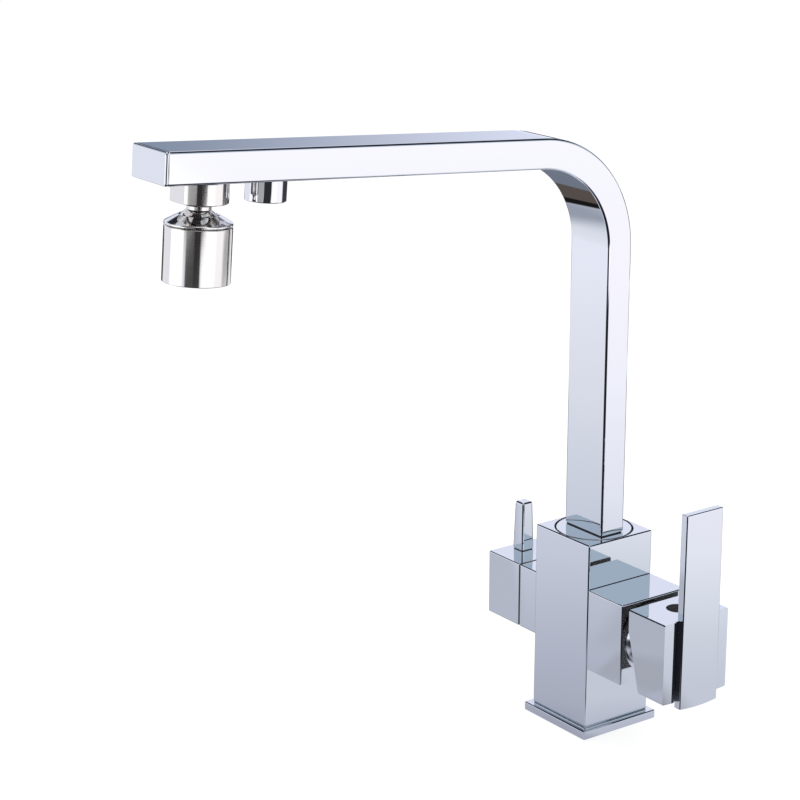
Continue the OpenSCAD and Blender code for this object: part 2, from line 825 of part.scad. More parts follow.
// One side of the tapered square pin
module pin_side() {
    polygon([[-pin_w / 2, 0], [pin_w / 2, 0], [pin_top_w / 2, pin_h], [-pin_top_w / 2, pin_h]]);
}

module filter_pin() {
    color(chrome) on_filter() {
        translate([0, filter_w / 2, pin_at]) {
            intersection() {
                linear_extrude(pin_w, center = true) pin_side();
                rotate([0, 90, 0]) linear_extrude(pin_w, center = true) pin_side();
            }
            rotate([90, 0, 0]) cylinder(r = pin_thread_r, h = filter_w / 2 - spindle_r);
        }
    }
}

module bearing_ring() {
    color(plastic) translate([0, 0, seat_z]) ring(disc_r, shank_r + slip, bearing_t);
}

module spout_shank() {
    color(chrome) difference() {
        union() {
            translate([0, 0, body_top - disc_t]) cylinder(r = disc_r, h = disc_t);
            translate([0, 0, shank_z]) cylinder(r = shank_r, h = shank_l + over);
            translate([0, 0, body_top]) linear_extrude(spigot_h)
                rounded(inner_w - 2 * snug, inner_t - 2 * snug, inner_edge);
        }
        translate([0, 0, shank_z - over]) cylinder(r = shank_bore_r, h = shank_l + over);
        translate([0, 0, body_top - disc_t - over]) linear_extrude(disc_t + spigot_h + 2 * over)
            rounded(inner_w - 2 * spout_wall, inner_t - 2 * spout_wall, inner_edge);
        for (k = [0, 1]) translate([0, 0, body_top - disc_t - o_first - k * o_step])
            ring(shank_r + over, shank_r - 2 * o_sec - snug, 2 * o_sec + 2 * snug);
        translate([0, 0, groove_z - groove_h / 2]) ring(shank_r + over, groove_r, groove_h);
    }
}

module shank_o_rings() {
    color(black) for (k = [0, 1]) translate([0, 0, body_top - disc_t - o_first - k * o_step + o_sec + snug])
        o_ring(shank_r - o_sec, o_sec);
}

module retaining_screw() {
    color(steel) translate([0, groove_r + part_gap, groove_z]) rotate([-90, 0, 0]) difference() {
        union() {
            cylinder(r = screw_tip_r, h = shank_r - groove_r + over);
            translate([0, 0, shank_r - groove_r]) cylinder(r = screw_r,
                h = body_w / 2 - shank_r - screw_sink - part_gap);
        }
        translate([0, 0, body_w / 2 - groove_r - part_gap - screw_sink - screw_hex_depth])
            cylinder(r = screw_hex_r, h = screw_hex_depth + over, $fn = 6);
    }
}

// Bent spout tube; the hollow is the same sweep with the inner section, and the
// arm laps the end of the bend by a hair
module spout_sweep(inner) {
    extra = inner ? over : 0;
    translate([0, 0, body_top - extra]) linear_extrude(post_h + extra) rotate(90)
        if (inner) spout_bore(); else spout_section();
    translate([0, -bend_r, bend_z]) rotate([90, 0, 90]) rotate_extrude(angle = bend_angle, $fn = 180)
        translate([bend_r, 0]) if (inner) spout_bore(); else spout_section();
    on_bend() translate([0, lap, bend_r]) rotate([90, 0, 0])
        linear_extrude(arm_l - cap_t + lap + extra) rotate(90)
            if (inner) spout_bore(lap_step); else spout_section(lap_step);
}

module spout_tube() {
    color(chrome) difference() {
        spout_sweep(false);
        spout_sweep(true);
        under_arm(aerator_at) translate([0, 0, -spout_t / 2]) cylinder(r = boss_out_r + snug, h = spout_t);
        under_arm(filter_at) translate([0, 0, -spout_t / 2])
            cylinder(r = nozzle_spigot_r + snug, h = spout_t);
    }
}

module tip_cap() {
    color(chrome) on_bend() translate([0, -arm_l, bend_r]) rotate([-90, 0, 0]) {
        linear_extrude(cap_t) rotate(90) spout_section();
        linear_extrude(cap_t + cap_plug) rotate(90)
            rounded(inner_t - 2 * snug, inner_w - 2 * snug, inner_edge);
    }
}

// Plain hose of the filtered water, from the column's middle to its outlet
module tube_run(r) {
    low = chamber_z - over;
    translate([0, 0, low]) cylinder(r = r, h = bend_z - low);
    translate([0, -bend_r, bend_z]) rotate([90, 0, 90]) rotate_extrude(angle = bend_angle, $fn = 180)
        translate([bend_r, 0]) circle(r, $fn = 32);
    on_bend() translate([0, lap, bend_r]) rotate([90, 0, 0]) cylinder(r = r + lap_step, h = filter_at + lap);
}

module filter_tube() {
    color(plastic) difference() {
        tube_run(tube_r);
        tube_run(tube_bore_r);
    }
}

module tube_seal() {
    color(black) translate([0, 0, chamber_z + boss_h - tube_groove_top - tube_seal_r - fit])
        o_ring(tube_r + tube_seal_r + fit, tube_seal_r);
}

module nozzle_block() {
    color(brass) under_arm(filter_at) difference() {
        translate([-block_w / 2, -block_len / 2, -spout_wall - nozzle_block_h])
            cube([block_w, block_len, nozzle_block_h]);
        translate([0, 0, -spout_wall - nozzle_spigot_l]) cylinder(r = nozzle_spigot_r + snug, h = spout_t);
        translate([0, 0, -spout_t / 2]) cylinder(r = tube_bore_r, h = spout_t);
        translate([0, 0, -spout_t / 2]) rotate([90, 0, 0]) cylinder(r = tube_r + fit, h = block_len);
    }
}

module filter_nozzle() {
    color(chrome) under_arm(filter_at) difference() {
        union() {
            cylinder(r = nozzle_r, h = nozzle_l);
            translate([0, 0, -nozzle_spigot_l]) cylinder(r = nozzle_spigot_r, h = nozzle_spigot_l + over);
        }
        translate([0, 0, -spout_t]) cylinder(r = nozzle_bore_r, h = spout_t + nozzle_l);
        translate([0, 0, nozzle_l - nozzle_cup_d]) cylinder(r = nozzle_cup_r, h = nozzle_cup_d + over);
    }
}

module nozzle_insert() {
    color(black) under_arm(filter_at) translate([0, 0, nozzle_l - nozzle_cup_d]) difference() {
        cylinder(r = nozzle_cup_r - snug, h = insert_t);
        for (k = [0 : insert_holes - 1]) rotate(k * 360 / insert_holes) translate([insert_ring, 0, -over])
            cylinder(r = insert_hole_r, h = insert_t + 2 * over, $fn = 24);
        translate([0, 0, -over]) cylinder(r = insert_hole_r, h = insert_t + 2 * over, $fn = 24);
    }
}

module outlet_boss() {
    color(brass) under_arm(aerator_at) translate([0, 0, -spout_wall - boss_up]) difference() {
        cylinder(r = boss_out_r, h = spout_wall + boss_up);
        translate([0, 0, -over]) cylinder(r = boss_lip_r, h = spout_t);
        translate([0, 0, boss_lip_t]) cylinder(r = boss_in_r, h = spout_t);
    }
}

module adapter_seal() {
    color(black) under_arm(aerator_at) translate([0, 0, boss_lip_t - spout_wall - boss_up])
        ring(boss_in_r - snug, boss_lip_r + slip, adapter_seal_t);
}

module aerator_adapter() {
    top = boss_lip_t + adapter_seal_t - spout_wall - boss_up;
    color(satin) under_arm(aerator_at) difference() {
        union() {
            translate([0, 0, top]) cylinder(r = boss_in_r - snug, h = over - top);
            intersection() {
                cylinder(r = adapter_r, h = adapter_h);
                translate([-adapter_r, -adapter_flat, 0]) cube([2 * adapter_r, 2 * adapter_flat, adapter_h]);
            }
        }
        translate([0, 0, top - over]) cylinder(r = adapter_bore_r, h = shelf_z - top + over);
        cylinder(r = shaft_r + fit, h = adapter_h + over);
    }
}

module swivel_stem() {
    color(satin) under_arm(aerator_at) difference() {
        union() {
            translate([0, 0, stem_top_z]) cylinder(r = adapter_bore_r - slip, h = swivel_head_t);
            translate([0, 0, stem_top_z]) cylinder(r = shaft_r, h = neck_z - stem_top_z);
            translate([0, 0, neck_z - over]) cylinder(r = stem_thread_r, h = stem_thread_l + over);
        }
        cylinder(r = stem_bore_r, h = neck_z + stem_thread_l + over);
    }
}

module stem_seal() {
    color(black) under_arm(aerator_at)
        translate([0, 0, stem_top_z - stem_seal_sec])
            o_ring(adapter_bore_r - 2 * fit - stem_seal_sec, stem_seal_sec);
}

module neck_washer() {
    color(black) under_arm(aerator_at) translate([0, 0, adapter_h + part_gap])
        ring(washer_r, shaft_r + snug, washer_t);
}

module swivel_ball() {
    color(satin) under_arm(aerator_at) difference() {
        union() {
            intersection() {
                translate([0, 0, ball_z]) sphere(ball_r);
                translate([0, 0, neck_z]) cylinder(r = ball_r, h = ball_z + ball_cut - neck_z);
            }
            translate([0, 0, neck_z]) cylinder(r = ball_neck_r, h = ball_z - neck_z);
        }
        cylinder(r = stem_thread_r + snug, h = neck_z + stem_thread_l);
        cylinder(r = stem_bore_r, h = ball_z + ball_r);
    }
}

module shoulder_cap() {
    color(satin) under_arm(aerator_at) rotate_extrude() polygon([[lip_r, lip_z], [cone_top_r, lip_z],
        [head_r, rim_z], [head_r, join_z], [skirt_r, join_z], [skirt_r, join_z + skirt_l],
        [skirt_in, join_z + skirt_l], [skirt_in, rim_z + rim_t / 2], [lip_r, lip_z + lip_t]]);
}

// Upper seat of the ball; its slope follows the inside of the cap
module ball_seat() {
    color(plastic) under_arm(aerator_at) difference() {
        rotate_extrude() polygon([[low_seat_bore, ball_z - seat_up], [seat_top_r, ball_z - seat_up],
            [seat_out_r, rim_z + rim_t / 2], [seat_out_r, ball_z - seat_split / 2],
            [low_seat_bore, ball_z - seat_split / 2]]);
        translate([0, 0, ball_z]) sphere(seat_r);
    }
}

module lower_seat() {
    color(plastic) under_arm(aerator_at) difference() {
        translate([0, 0, ball_z + seat_split / 2])
            ring(seat_out_r, low_seat_bore, low_seat_l - seat_split / 2);
        translate([0, 0, ball_z]) sphere(seat_r);
    }
}

module aerator_housing() {
    color(satin) under_arm(aerator_at) difference() {
        translate([0, 0, housing_z]) cylinder(r = head_r, h = head_l);
        translate([0, 0, housing_z - over]) cylinder(r = skirt_r + snug, h = skirt_l + over);
        translate([0, 0, housing_z - over]) cylinder(r = housing_in, h = head_l - mouth_t + over);
        cylinder(r = mouth_r, h = housing_end + over);
    }
}

module aerator_core() {
    color(plastic) under_arm(aerator_at) translate([0, 0, core_z]) difference() {
        cylinder(r = core_r, h = core_t);
        translate([0, 0, -over]) cylinder(r = low_seat_bore, h = over + core_t / 2);
        for (k = [0 : core_jets - 1]) rotate(k * 360 / core_jets)
            translate([low_seat_bore - 2 * core_jet_r, 0, 0])
                cylinder(r = core_jet_r, h = core_t + over, $fn = 16);
    }
}

// Round screen of rings and bars
module aerator_screen() {
    color(steel) under_arm(aerator_at) translate([0, 0, core_z + core_t]) {
        for (k = [1 : screen_rings])
            ring(k * core_r / screen_rings, k * core_r / screen_rings - 2 * screen_wire, screen_t);
        for (k = [0 : screen_bars - 1]) rotate(k * 180 / screen_bars)
            translate([screen_wire - core_r, -screen_wire, 0])
                cube([2 * core_r - 2 * screen_wire, 2 * screen_wire, screen_t]);
    }
}

// Sleeve with the outlet grid that shows in the mouth
module aerator_sleeve() {
    color(black) under_arm(aerator_at) {
        translate([0, 0, sleeve_z]) ring(core_r, core_r - sleeve_wall, sleeve_end - sleeve_z);
        translate([0, 0, sleeve_end - grid_t]) intersection() {
            cylinder(r = core_r - sleeve_wall / 2, h = grid_t);
            union() for (k = [-grid_count : grid_count], a = [0, 90]) rotate(a)
                translate([k * grid_step - grid_bar / 2, -core_r, 0]) cube([grid_bar, 2 * core_r, grid_t]);
        }
    }
}

column();
base_plate();
base_gasket();
valve_block();
cartridge_base();
port_seals();
cartridge_shell();
fixed_disc();
cartridge_nut();
valve_bonnet();
turret();
pivot_pin();
slide_disc();
disc_carrier();
lever_stem();
lever_hub();
lever_plate();
plate_screws();
hub_grub_screw();
filter_stub();
filter_headwork();
filter_seal();
filter_fixed_disc();
filter_turn_disc();
filter_spindle();
filter_knob();
filter_pin();
bearing_ring();
spout_shank();
shank_o_rings();
retaining_screw();
spout_tube();
tip_cap();
filter_tube();
tube_seal();
nozzle_block();
filter_nozzle();
nozzle_insert();
outlet_boss();
aerator_adapter();
adapter_seal();
swivel_stem();
stem_seal();
neck_washer();
swivel_ball();
shoulder_cap();
ball_seat();
lower_seat();
aerator_housing();
aerator_core();
aerator_screen();
aerator_sleeve();
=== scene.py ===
import json
from math import atan2, cos, pi, radians, sin, sqrt
import bpy
import bmesh
from bmesh.types import BMEdge, BMFace, BMVert
from mathutils import Matrix, Vector


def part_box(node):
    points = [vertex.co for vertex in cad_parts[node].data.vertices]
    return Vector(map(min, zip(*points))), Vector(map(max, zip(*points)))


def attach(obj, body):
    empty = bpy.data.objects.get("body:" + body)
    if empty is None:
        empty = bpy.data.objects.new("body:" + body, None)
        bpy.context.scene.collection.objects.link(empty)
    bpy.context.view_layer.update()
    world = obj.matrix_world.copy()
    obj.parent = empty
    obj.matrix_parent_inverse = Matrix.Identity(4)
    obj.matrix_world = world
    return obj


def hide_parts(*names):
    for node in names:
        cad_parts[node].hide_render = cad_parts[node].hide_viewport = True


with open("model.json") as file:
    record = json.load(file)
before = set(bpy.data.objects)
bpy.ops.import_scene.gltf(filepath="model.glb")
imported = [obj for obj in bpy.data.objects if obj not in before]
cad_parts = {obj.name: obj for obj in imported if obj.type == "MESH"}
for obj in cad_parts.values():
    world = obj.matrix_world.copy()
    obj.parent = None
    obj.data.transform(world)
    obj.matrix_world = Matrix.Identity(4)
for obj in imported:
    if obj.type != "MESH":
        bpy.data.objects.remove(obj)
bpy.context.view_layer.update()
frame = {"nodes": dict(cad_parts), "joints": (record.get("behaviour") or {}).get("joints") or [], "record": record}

mm = 0.001
hair = 0.01 * mm             # slack in tests for faces and points on a plane
near = 0.1 * mm              # slack in tests for faces and points inside an outline
mergeDistance = 1e-6
roundedAngle = radians(32)   # edges sharper than this are rounded
creaseAngle = radians(38)    # edges sharper than this stay creased in the shading
flatAngle = radians(0.4)     # faces closer to one plane than this are merged
facing = 0.5                 # a face looks along an axis when its normal reaches this far along it
sideShare = 0.999            # a point is on a block's side from this share of the half width on
fineSteps = 128              # facets round the pieces whose outline shows most


# Shader arithmetic: a socket that takes part in expressions
class Signal:
    def __init__(self, tree, socket=None):
        self.tree = tree
        self.socket = socket

    def node(self, kind, settings=None, inputs=None, output=0):
        made = self.tree.nodes.new(kind)
        for key, value in (settings or {}).items():
            if key == "stops":
                self.fillRamp(made.color_ramp, value)
            else:
                setattr(made, key, value)
        for key, value in (inputs or {}).items():
            if isinstance(value, Signal):
                self.tree.links.new(value.socket, made.inputs[key])
            else:
                made.inputs[key].default_value = value
        return Signal(self.tree, made.outputs[output])

    def fillRamp(self, ramp, stops):
        while len(ramp.elements) < len(stops):
            ramp.elements.new(1.0)
        for element, (place, colour) in zip(ramp.elements, stops):
            element.position = place
            element.color = (*colour, 1.0)

    def maths(self, operation, *values):
        return self.node("ShaderNodeMath", {"operation": operation}, dict(enumerate(values)))

    def feed(self, shader, name):
        self.tree.links.new(self.socket, shader.inputs[name])

    def __add__(self, other):
        return self.maths("ADD", self, other)

    def __sub__(self, other):
        return self.maths("SUBTRACT", self, other)

    def __rsub__(self, other):
        return self.maths("SUBTRACT", other, self)

    def __mul__(self, other):
        return self.maths("MULTIPLY", self, other)

    def __truediv__(self, other):
        return self.maths("DIVIDE", self, other)


def smoothBetween(signal, low, high):  # 0 below low, 1 above high
    return signal.node("ShaderNodeMapRange", {"interpolation_type": "SMOOTHSTEP"},
                       {"Value": signal, "From Min": low, "From Max": high})


def blendColours(factor, first, second):
    return factor.node("ShaderNodeMix", {"data_type": "RGBA"}, {0: factor, 6: first, 7: second}, 2)


def newMaterial(name, colour, metallic, roughness):
    material = bpy.data.materials.new(name)
    material.use_nodes = True
    shader = material.node_tree.nodes["Principled BSDF"]
    shader.inputs["Base Color"].default_value = (*colour, 1.0)
    shader.inputs["Metallic"].default_value = metallic
    shader.inputs["Roughness"].default_value = roughness
    start = Signal(material.node_tree)
    place = start.node("ShaderNodeTexCoord", output=3)
    return material, shader, place


def addBump(shader, height, strength, distance=0.0002):
    bump = height.node("ShaderNodeBump", inputs={
        "Strength": strength, "Distance": distance, "Height": height})
    bump.feed(shader, "Normal")


def blendOn(shader, factor, look):  # the base colour runs from one colour of the look to the other
    blendColours(factor, (*look["colour"], 1.0), (*look["otherColour"], 1.0)).feed(shader, "Base Color")


def noiseOn(place, scale, detail=2.0, roughness=0.5):
    return place.node("ShaderNodeTexNoise", inputs={
        "Vector": place, "Scale": scale, "Detail": detail, "Roughness": roughness})


def stretchedNoise(place, scales, detail):
    stretched = place.node("ShaderNodeMapping", inputs={"Vector": place, "Scale": scales})
    return noiseOn(stretched, 1.0, detail)


# Finishes
print("materials")

chromeLook = {
    "colour": (0.86, 0.875, 0.905),
    "roughness": 0.02,
    "haze": 0.02,            # extra roughness in the hazy patches
    "hazeScale": 38.0,
    "hazeEdges": (0.45, 0.8),
    "waveScale": 14.0,       # slow waviness left by polishing
    "waveStrength": 0.010,
    "waveDistance": 0.001,
}


def polishedChrome(name, look):
    material, shader, place = newMaterial(name, look["colour"], 1.0, look["roughness"])
    clouds = noiseOn(place, look["hazeScale"], detail=4.0, roughness=0.6)
    haze = smoothBetween(clouds, *look["hazeEdges"])
    (haze * look["haze"] + look["roughness"]).feed(shader, "Roughness")
    waves = noiseOn(place, look["waveScale"], detail=1.0)
    addBump(shader, waves, look["waveStrength"], look["waveDistance"])
    return material


nickelLook = {
    "colour": (0.885, 0.865, 0.83),
    "roughness": 0.07,
    "grain": 0.05,
    "grainScales": (60.0, 60.0, 2600.0),   # fine turning marks round the outlet
    "grainDetail": 3.0,
    "grainStrength": 0.012,
}

bonnetLook = {
    "colour": (0.93, 0.94, 0.96),
    "roughness": 0.15,
    "grain": 0.03,
    "grainScales": (900.0, 60.0, 60.0),
    "grainDetail": 3.0,
    "grainStrength": 0.012,
}

brassLook = {
    "colour": (0.80, 0.65, 0.36),
    "otherColour": (0.58, 0.43, 0.22),     # where it has tarnished
    "tarnishScale": 90.0,
    "tarnishEdges": (0.4, 0.75),
    "roughness": 0.2,
    "grain": 0.2,
    "grainScales": (900.0, 900.0, 90.0),
    "grainDetail": 2.0,
    "grainStrength": 0.05,
}

steelLook = {
    "colour": (0.62, 0.64, 0.66),
    "roughness": 0.18,
    "grain": 0.18,
    "grainScales": (300.0, 300.0, 1600.0),
    "grainDetail": 2.0,
    "grainStrength": 0.04,
}


def machinedMetal(name, look):
    material, shader, place = newMaterial(name, look["colour"], 1.0, look["roughness"])
    if "tarnishScale" in look:
        tarnish = smoothBetween(noiseOn(place, look["tarnishScale"], detail=4.0), *look["tarnishEdges"])
        blendOn(shader, tarnish, look)
    grain = stretchedNoise(place, look["grainScales"], look["grainDetail"])
    (grain * look["grain"] + look["roughness"]).feed(shader, "Roughness")
    addBump(shader, grain, look["grainStrength"])
    return material


plasticGrain = {
    "cloudScale": 60.0,
    "poreScale": 1400.0,
    "poreRoughness": 0.12,
    "poreStrength": 0.06,
}
plasticLooks = {
    "sealRubber": {"colour": (0.035, 0.035, 0.038), "otherColour": (0.05, 0.05, 0.052), "roughness": 0.55},
    "whiteAcetal": {"colour": (0.86, 0.86, 0.82), "otherColour": (0.80, 0.80, 0.76), "roughness": 0.4},
    "blackAcetal": {"colour": (0.03, 0.03, 0.032), "otherColour": (0.045, 0.045, 0.047), "roughness": 0.4},
    # painted shade for gaps, recesses and cavities, not the metal's own colour
    "paintedGapShade": {"colour": (0.05, 0.05, 0.053), "otherColour": (0.08, 0.078, 0.075), "roughness": 0.5},
}


def mouldedPlastic(name):
    look, grain = plasticLooks[name], plasticGrain
    material, shader, place = newMaterial(name, look["colour"], 0.0, look["roughness"])
    blendOn(shader, noiseOn(place, grain["cloudScale"], detail=3.0), look)
    pores = noiseOn(place, grain["poreScale"])
    smoothest = look["roughness"] - grain["poreRoughness"] / 2  # the pores leave the average as it is
    (pores * grain["poreRoughness"] + smoothest).feed(shader, "Roughness")
    addBump(shader, pores, grain["poreStrength"])
    return material


ceramicLook = {
    "colour": (0.93, 0.93, 0.90),
    "otherColour": (0.84, 0.84, 0.82),
    "speckScale": 700.0,
    "speckEdges": (0.6, 0.7),
    "speckRoughness": 0.1,
    "roughness": 0.18,
}


def groundCeramic(name, look):
    material, shader, place = newMaterial(name, look["colour"], 0.0, look["roughness"])
    speck = smoothBetween(noiseOn(place, look["speckScale"]), *look["speckEdges"])
    blendOn(shader, speck, look)
    (speck * look["speckRoughness"] + look["roughness"]).feed(shader, "Roughness")
    return material


finishes = {
    "chrome": polishedChrome("polishedChrome", chromeLook),
    "satin": machinedMetal("turnedNickel", nickelLook),
    "satinChrome": machinedMetal("satinChrome", bonnetLook),
    "brass": machinedMetal("machinedBrass", brassLook),
    "steel": machinedMetal("brightSteel", steelLook),
    "rubber": mouldedPlastic("sealRubber"),
    "white_plastic": mouldedPlastic("whiteAcetal"),
    "black_plastic": mouldedPlastic("blackAcetal"),
    "ceramic": groundCeramic("groundCeramic", ceramicLook),
}
paintedGapShade = mouldedPlastic("paintedGapShade")  # painted shade: a near-black, dull finish for the faces in gaps, recesses and cavities, standing in for the shade that falls there

nodeSlots = {entry["node"]: entry["material_slot"] for entry in frame["record"]["subparts"]}
bodyOf = {node: body for body, nodes in frame["record"]["behaviour"]["bodies"].items() for node in nodes}

for nodeName, nodeObject in frame["nodes"].items():
    finish = finishes[nodeSlots[nodeName]]
    if not nodeObject.material_slots:
        nodeObject.data.materials.append(finish)
    for materialSlot in nodeObject.material_slots:
        materialSlot.material = finish


# Sizes and axes read from the frame
def jointPlace(name):
    return Vector(next(joint for joint in frame["joints"] if joint["name"] == name)["pos_m"])


columnLow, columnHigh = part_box("column")
bodyWidth = columnHigh.x - columnLow.x
bodyTop = columnHigh.z
plateLow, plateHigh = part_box("base_plate")
valveAxis = jointPlace("lever_turn").z
filterAxis = jointPlace("filter_turn").z

# Frames on the column's two sides: z runs outwards along the valve's axis, y upwards
valveFrame = Matrix(((0, 0, 1, bodyWidth / 2), (1, 0, 0, 0), (0, 1, 0, valveAxis), (0, 0, 0, 1)))
filterFrame = Matrix(((0, 0, -1, -bodyWidth / 2), (-1, 0, 0, 0), (0, 1, 0, filterAxis), (0, 0, 0, 1)))


# Modelling steps that the pieces share
def only(items, kind):  # the corners, edges or faces in a mixed list
    return [item for item in items if isinstance(item, kind)]


def openEdges(bm):
    return [edge for edge in bm.edges if edge.is_boundary]


def openRing(bm, halfWidth, z, sides, centre=(0.0, 0.0), aspect=1.0):  # a ring of edges, square for 4 sides
    turn = pi / 4 if sides == 4 else 0.0
    radius = halfWidth * (sqrt(2) if sides == 4 else 1.0)
    shape = Matrix.Diagonal((1, aspect, 1, 1)) @ Matrix.Rotation(turn, 4, "Z")
    verts = bmesh.ops.create_circle(bm, segments=sides, radius=radius,
                                    matrix=Matrix.Translation((*centre, z)) @ shape)["verts"]
    return [edge for edge in bm.edges if edge.verts[0] in verts and edge.verts[1] in verts]


def pullRing(bm, edges, rise, grow=1.0):  # extrudes a ring along z and scales it about its centre
    made = bmesh.ops.extrude_edge_only(bm, edges=edges)["geom"]
    verts = only(made, BMVert)
    centre = sum((vert.co for vert in verts), Vector()) / len(verts)
    bmesh.ops.scale(bm, verts=verts, vec=(grow, grow, 1.0), space=Matrix.Translation(-centre))
    bmesh.ops.translate(bm, verts=verts, vec=(0, 0, rise))
    chosen = set(verts)
    return [edge for edge in only(made, BMEdge) if chosen.issuperset(edge.verts)]


def capRing(bm, edges):
    bmesh.ops.edgeloop_fill(bm, edges=edges)


def fillBetween(bm, *rings):  # a flat face with holes
    bmesh.ops.triangle_fill(bm, use_beauty=True, edges=[edge for ring in rings for edge in ring])


def sinkHole(bm, radius, top, depth, sides=64, centre=(0.0, 0.0)):  # gives a blind hole's open rim
    rim = openRing(bm, radius, top, sides, centre)
    capRing(bm, pullRing(bm, rim, -depth))
    return rim


def growFaces(bm, faces, vec):  # extrudes faces, keeps them as the near end and gives the far end
    grown = bmesh.ops.extrude_face_region(bm, geom=faces)["geom"]
    bmesh.ops.translate(bm, verts=only(grown, BMVert), vec=vec)
    return only(grown, BMFace)


def latheOutline(bm, outline, steps=96):  # turns a closed outline of (radius, height) points about z
    verts = [bm.verts.new((radius, 0.0, height)) for radius, height in outline]
    edges = [bm.edges.new(pair) for pair in zip(verts, verts[1:] + verts[:1])]
    bmesh.ops.spin(bm, geom=verts + edges, cent=(0, 0, 0), axis=(0, 0, 1), angle=2 * pi,
                   steps=steps, use_merge=True)
    bmesh.ops.remove_doubles(bm, verts=bm.verts, dist=mergeDistance)


def copyNode(node):  # a merged copy of a CAD node's own mesh, to be given rounded edges
    bm = bmesh.new()
    bm.from_mesh(frame["nodes"][node].data)
    bmesh.ops.remove_doubles(bm, verts=bm.verts, dist=mergeDistance)
    bmesh.ops.dissolve_limit(bm, angle_limit=flatAngle, verts=bm.verts, edges=bm.edges)
    return bm


def roundEdges(bm, width, steps, chosen):  # rounds the sharp edges between points that are chosen
    bmesh.ops.recalc_face_normals(bm, faces=bm.faces)
    sharp = [edge for edge in bm.edges
             if len(edge.link_faces) == 2 and edge.calc_face_angle() > roundedAngle
             and all(chosen(vert.co) for vert in edge.verts)]
    bmesh.ops.bevel(bm, geom=sharp, offset=width, offset_type="OFFSET", affect="EDGES", segments=steps,
                    profile=0.5, material=-1, clamp_overlap=False)


def onSides(halfWidth, halfHeight=None):  # tests for points on the outside of an upright block
    return lambda point: max(abs(point.x) / halfWidth, abs(point.y) / (halfHeight or halfWidth)) > sideShare


def meshFrom(bm, name):
    mesh = bpy.data.meshes.new(name)
    bm.to_mesh(mesh)
    bm.free()
    return mesh


def addObject(name, data):
    made = bpy.data.objects.new(name, data)
    bpy.context.scene.collection.objects.link(made)
    return made


def addModifier(piece, kind, **settings):
    modifier = piece.modifiers.new(kind.title(), kind)
    for key, value in settings.items():
        setattr(modifier, key, value)


def finishPiece(name, bm, nodes, place=None, edge=0.0, rounds=3, wall=0.0, inside=None, finish=None):
    bmesh.ops.recalc_face_normals(bm, faces=bm.faces)
    # faces that inside picks take the second slot, the near-black painted shade of gaps and recesses
    if inside:
        for face in bm.faces:
            face.material_index = int(inside(face.calc_center_median(), face.normal))
    if place is not None:
        bmesh.ops.transform(bm, matrix=place, verts=bm.verts)
    mesh = meshFrom(bm, name)
    mesh.shade_smooth()
    mesh.set_sharp_from_angle(angle=creaseAngle)
    mesh.materials.append(finish or finishes[nodeSlots[nodes[0]]])
    mesh.materials.append(paintedGapShade)
    piece = addObject(name, mesh)
    if wall:
        addModifier(piece, "SOLIDIFY", thickness=wall, offset=-1.0, use_even_offset=True)
    if edge:
        addModifier(piece, "BEVEL", width=edge, segments=rounds, limit_method="ANGLE",
                    angle_limit=roundedAngle, use_clamp_overlap=True)
    addModifier(piece, "WEIGHTED_NORMAL", keep_sharp=True, weight=70)
    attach(piece, bodyOf[nodes[0]])
    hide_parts(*nodes)


# Column and base plate
print("column and base plate")
columnSizes = {
    "footInset": 2.5 * mm,
    "discSeam": 0.6 * mm,
    "discMargin": 1.5 * mm,
    "seatDrop": 5 * mm,
    "hoseRadius": 4.5 * mm,
    "hoseDepth": 12 * mm,
    "studRadius": 3.4 * mm,
    "studDepth": 14 * mm,
    "holeSides": 48,
    "edge": 0.85 * mm,
    "edgeSteps": 5,
    "seatEdge": 0.25 * mm,
    "seatEdgeSteps": 3,
}


def buildColumn():
    s = columnSizes
    halfWidth = bodyWidth / 2
    halfFoot = halfWidth - s["footInset"]
    bm = bmesh.new()
    foot = openRing(bm, halfFoot, columnLow.z, 4)
    holes = []
    for mount in frame["record"]["mounts"]:
        if mount["kind"] == "threaded_hole":
            holes.append(sinkHole(bm, s["hoseRadius"], columnLow.z, -s["hoseDepth"], s["holeSides"],
                                  mount["pos_m"][:2]))
        elif mount["kind"] == "bolt_pattern":
            reach = mount["dims"]["spacing_y_mm"] * mm / 2
            for side in (-reach, reach):
                holes.append(sinkHole(bm, s["studRadius"], columnLow.z, -s["studDepth"], s["holeSides"],
                                      (0.0, side)))
    fillBetween(bm, foot, *holes)
    sides = pullRing(bm, foot, plateHigh.z - columnLow.z)
    sides = pullRing(bm, sides, 0.0, halfWidth / halfFoot)
    top = pullRing(bm, sides, bodyTop - plateHigh.z)
    discRadius = halfWidth - s["discMargin"]
    rim = discRadius + s["discSeam"]
    fillBetween(bm, top, sinkHole(bm, rim, bodyTop, s["seatDrop"], fineSteps))
    roundEdges(bm, s["edge"], s["edgeSteps"], onSides(halfWidth))
    roundEdges(bm, s["seatEdge"], s["seatEdgeSteps"],
               lambda point: point.z > bodyTop - hair and abs(point.xy.length - rim) < near)

    # the walls of the disc's seat are coloured in painted shade, for the dark gap round the disc
    def seatWall(centre, normal):
        return (bodyTop - s["seatDrop"] - mm < centre.z < bodyTop - near
                and centre.xy.length < discRadius + mm and abs(normal.z) < facing)

    finishPiece("columnBlock", bm, ["column"], inside=seatWall)


plateSizes = {
    "holeSlack": 0.2 * mm,
    "groove": (1.9 * mm, 4.3 * mm, 2.0 * mm),   # seal groove: first and last offset from the hole, depth
    "edge": 0.8 * mm,
    "edgeSteps": 4,
}


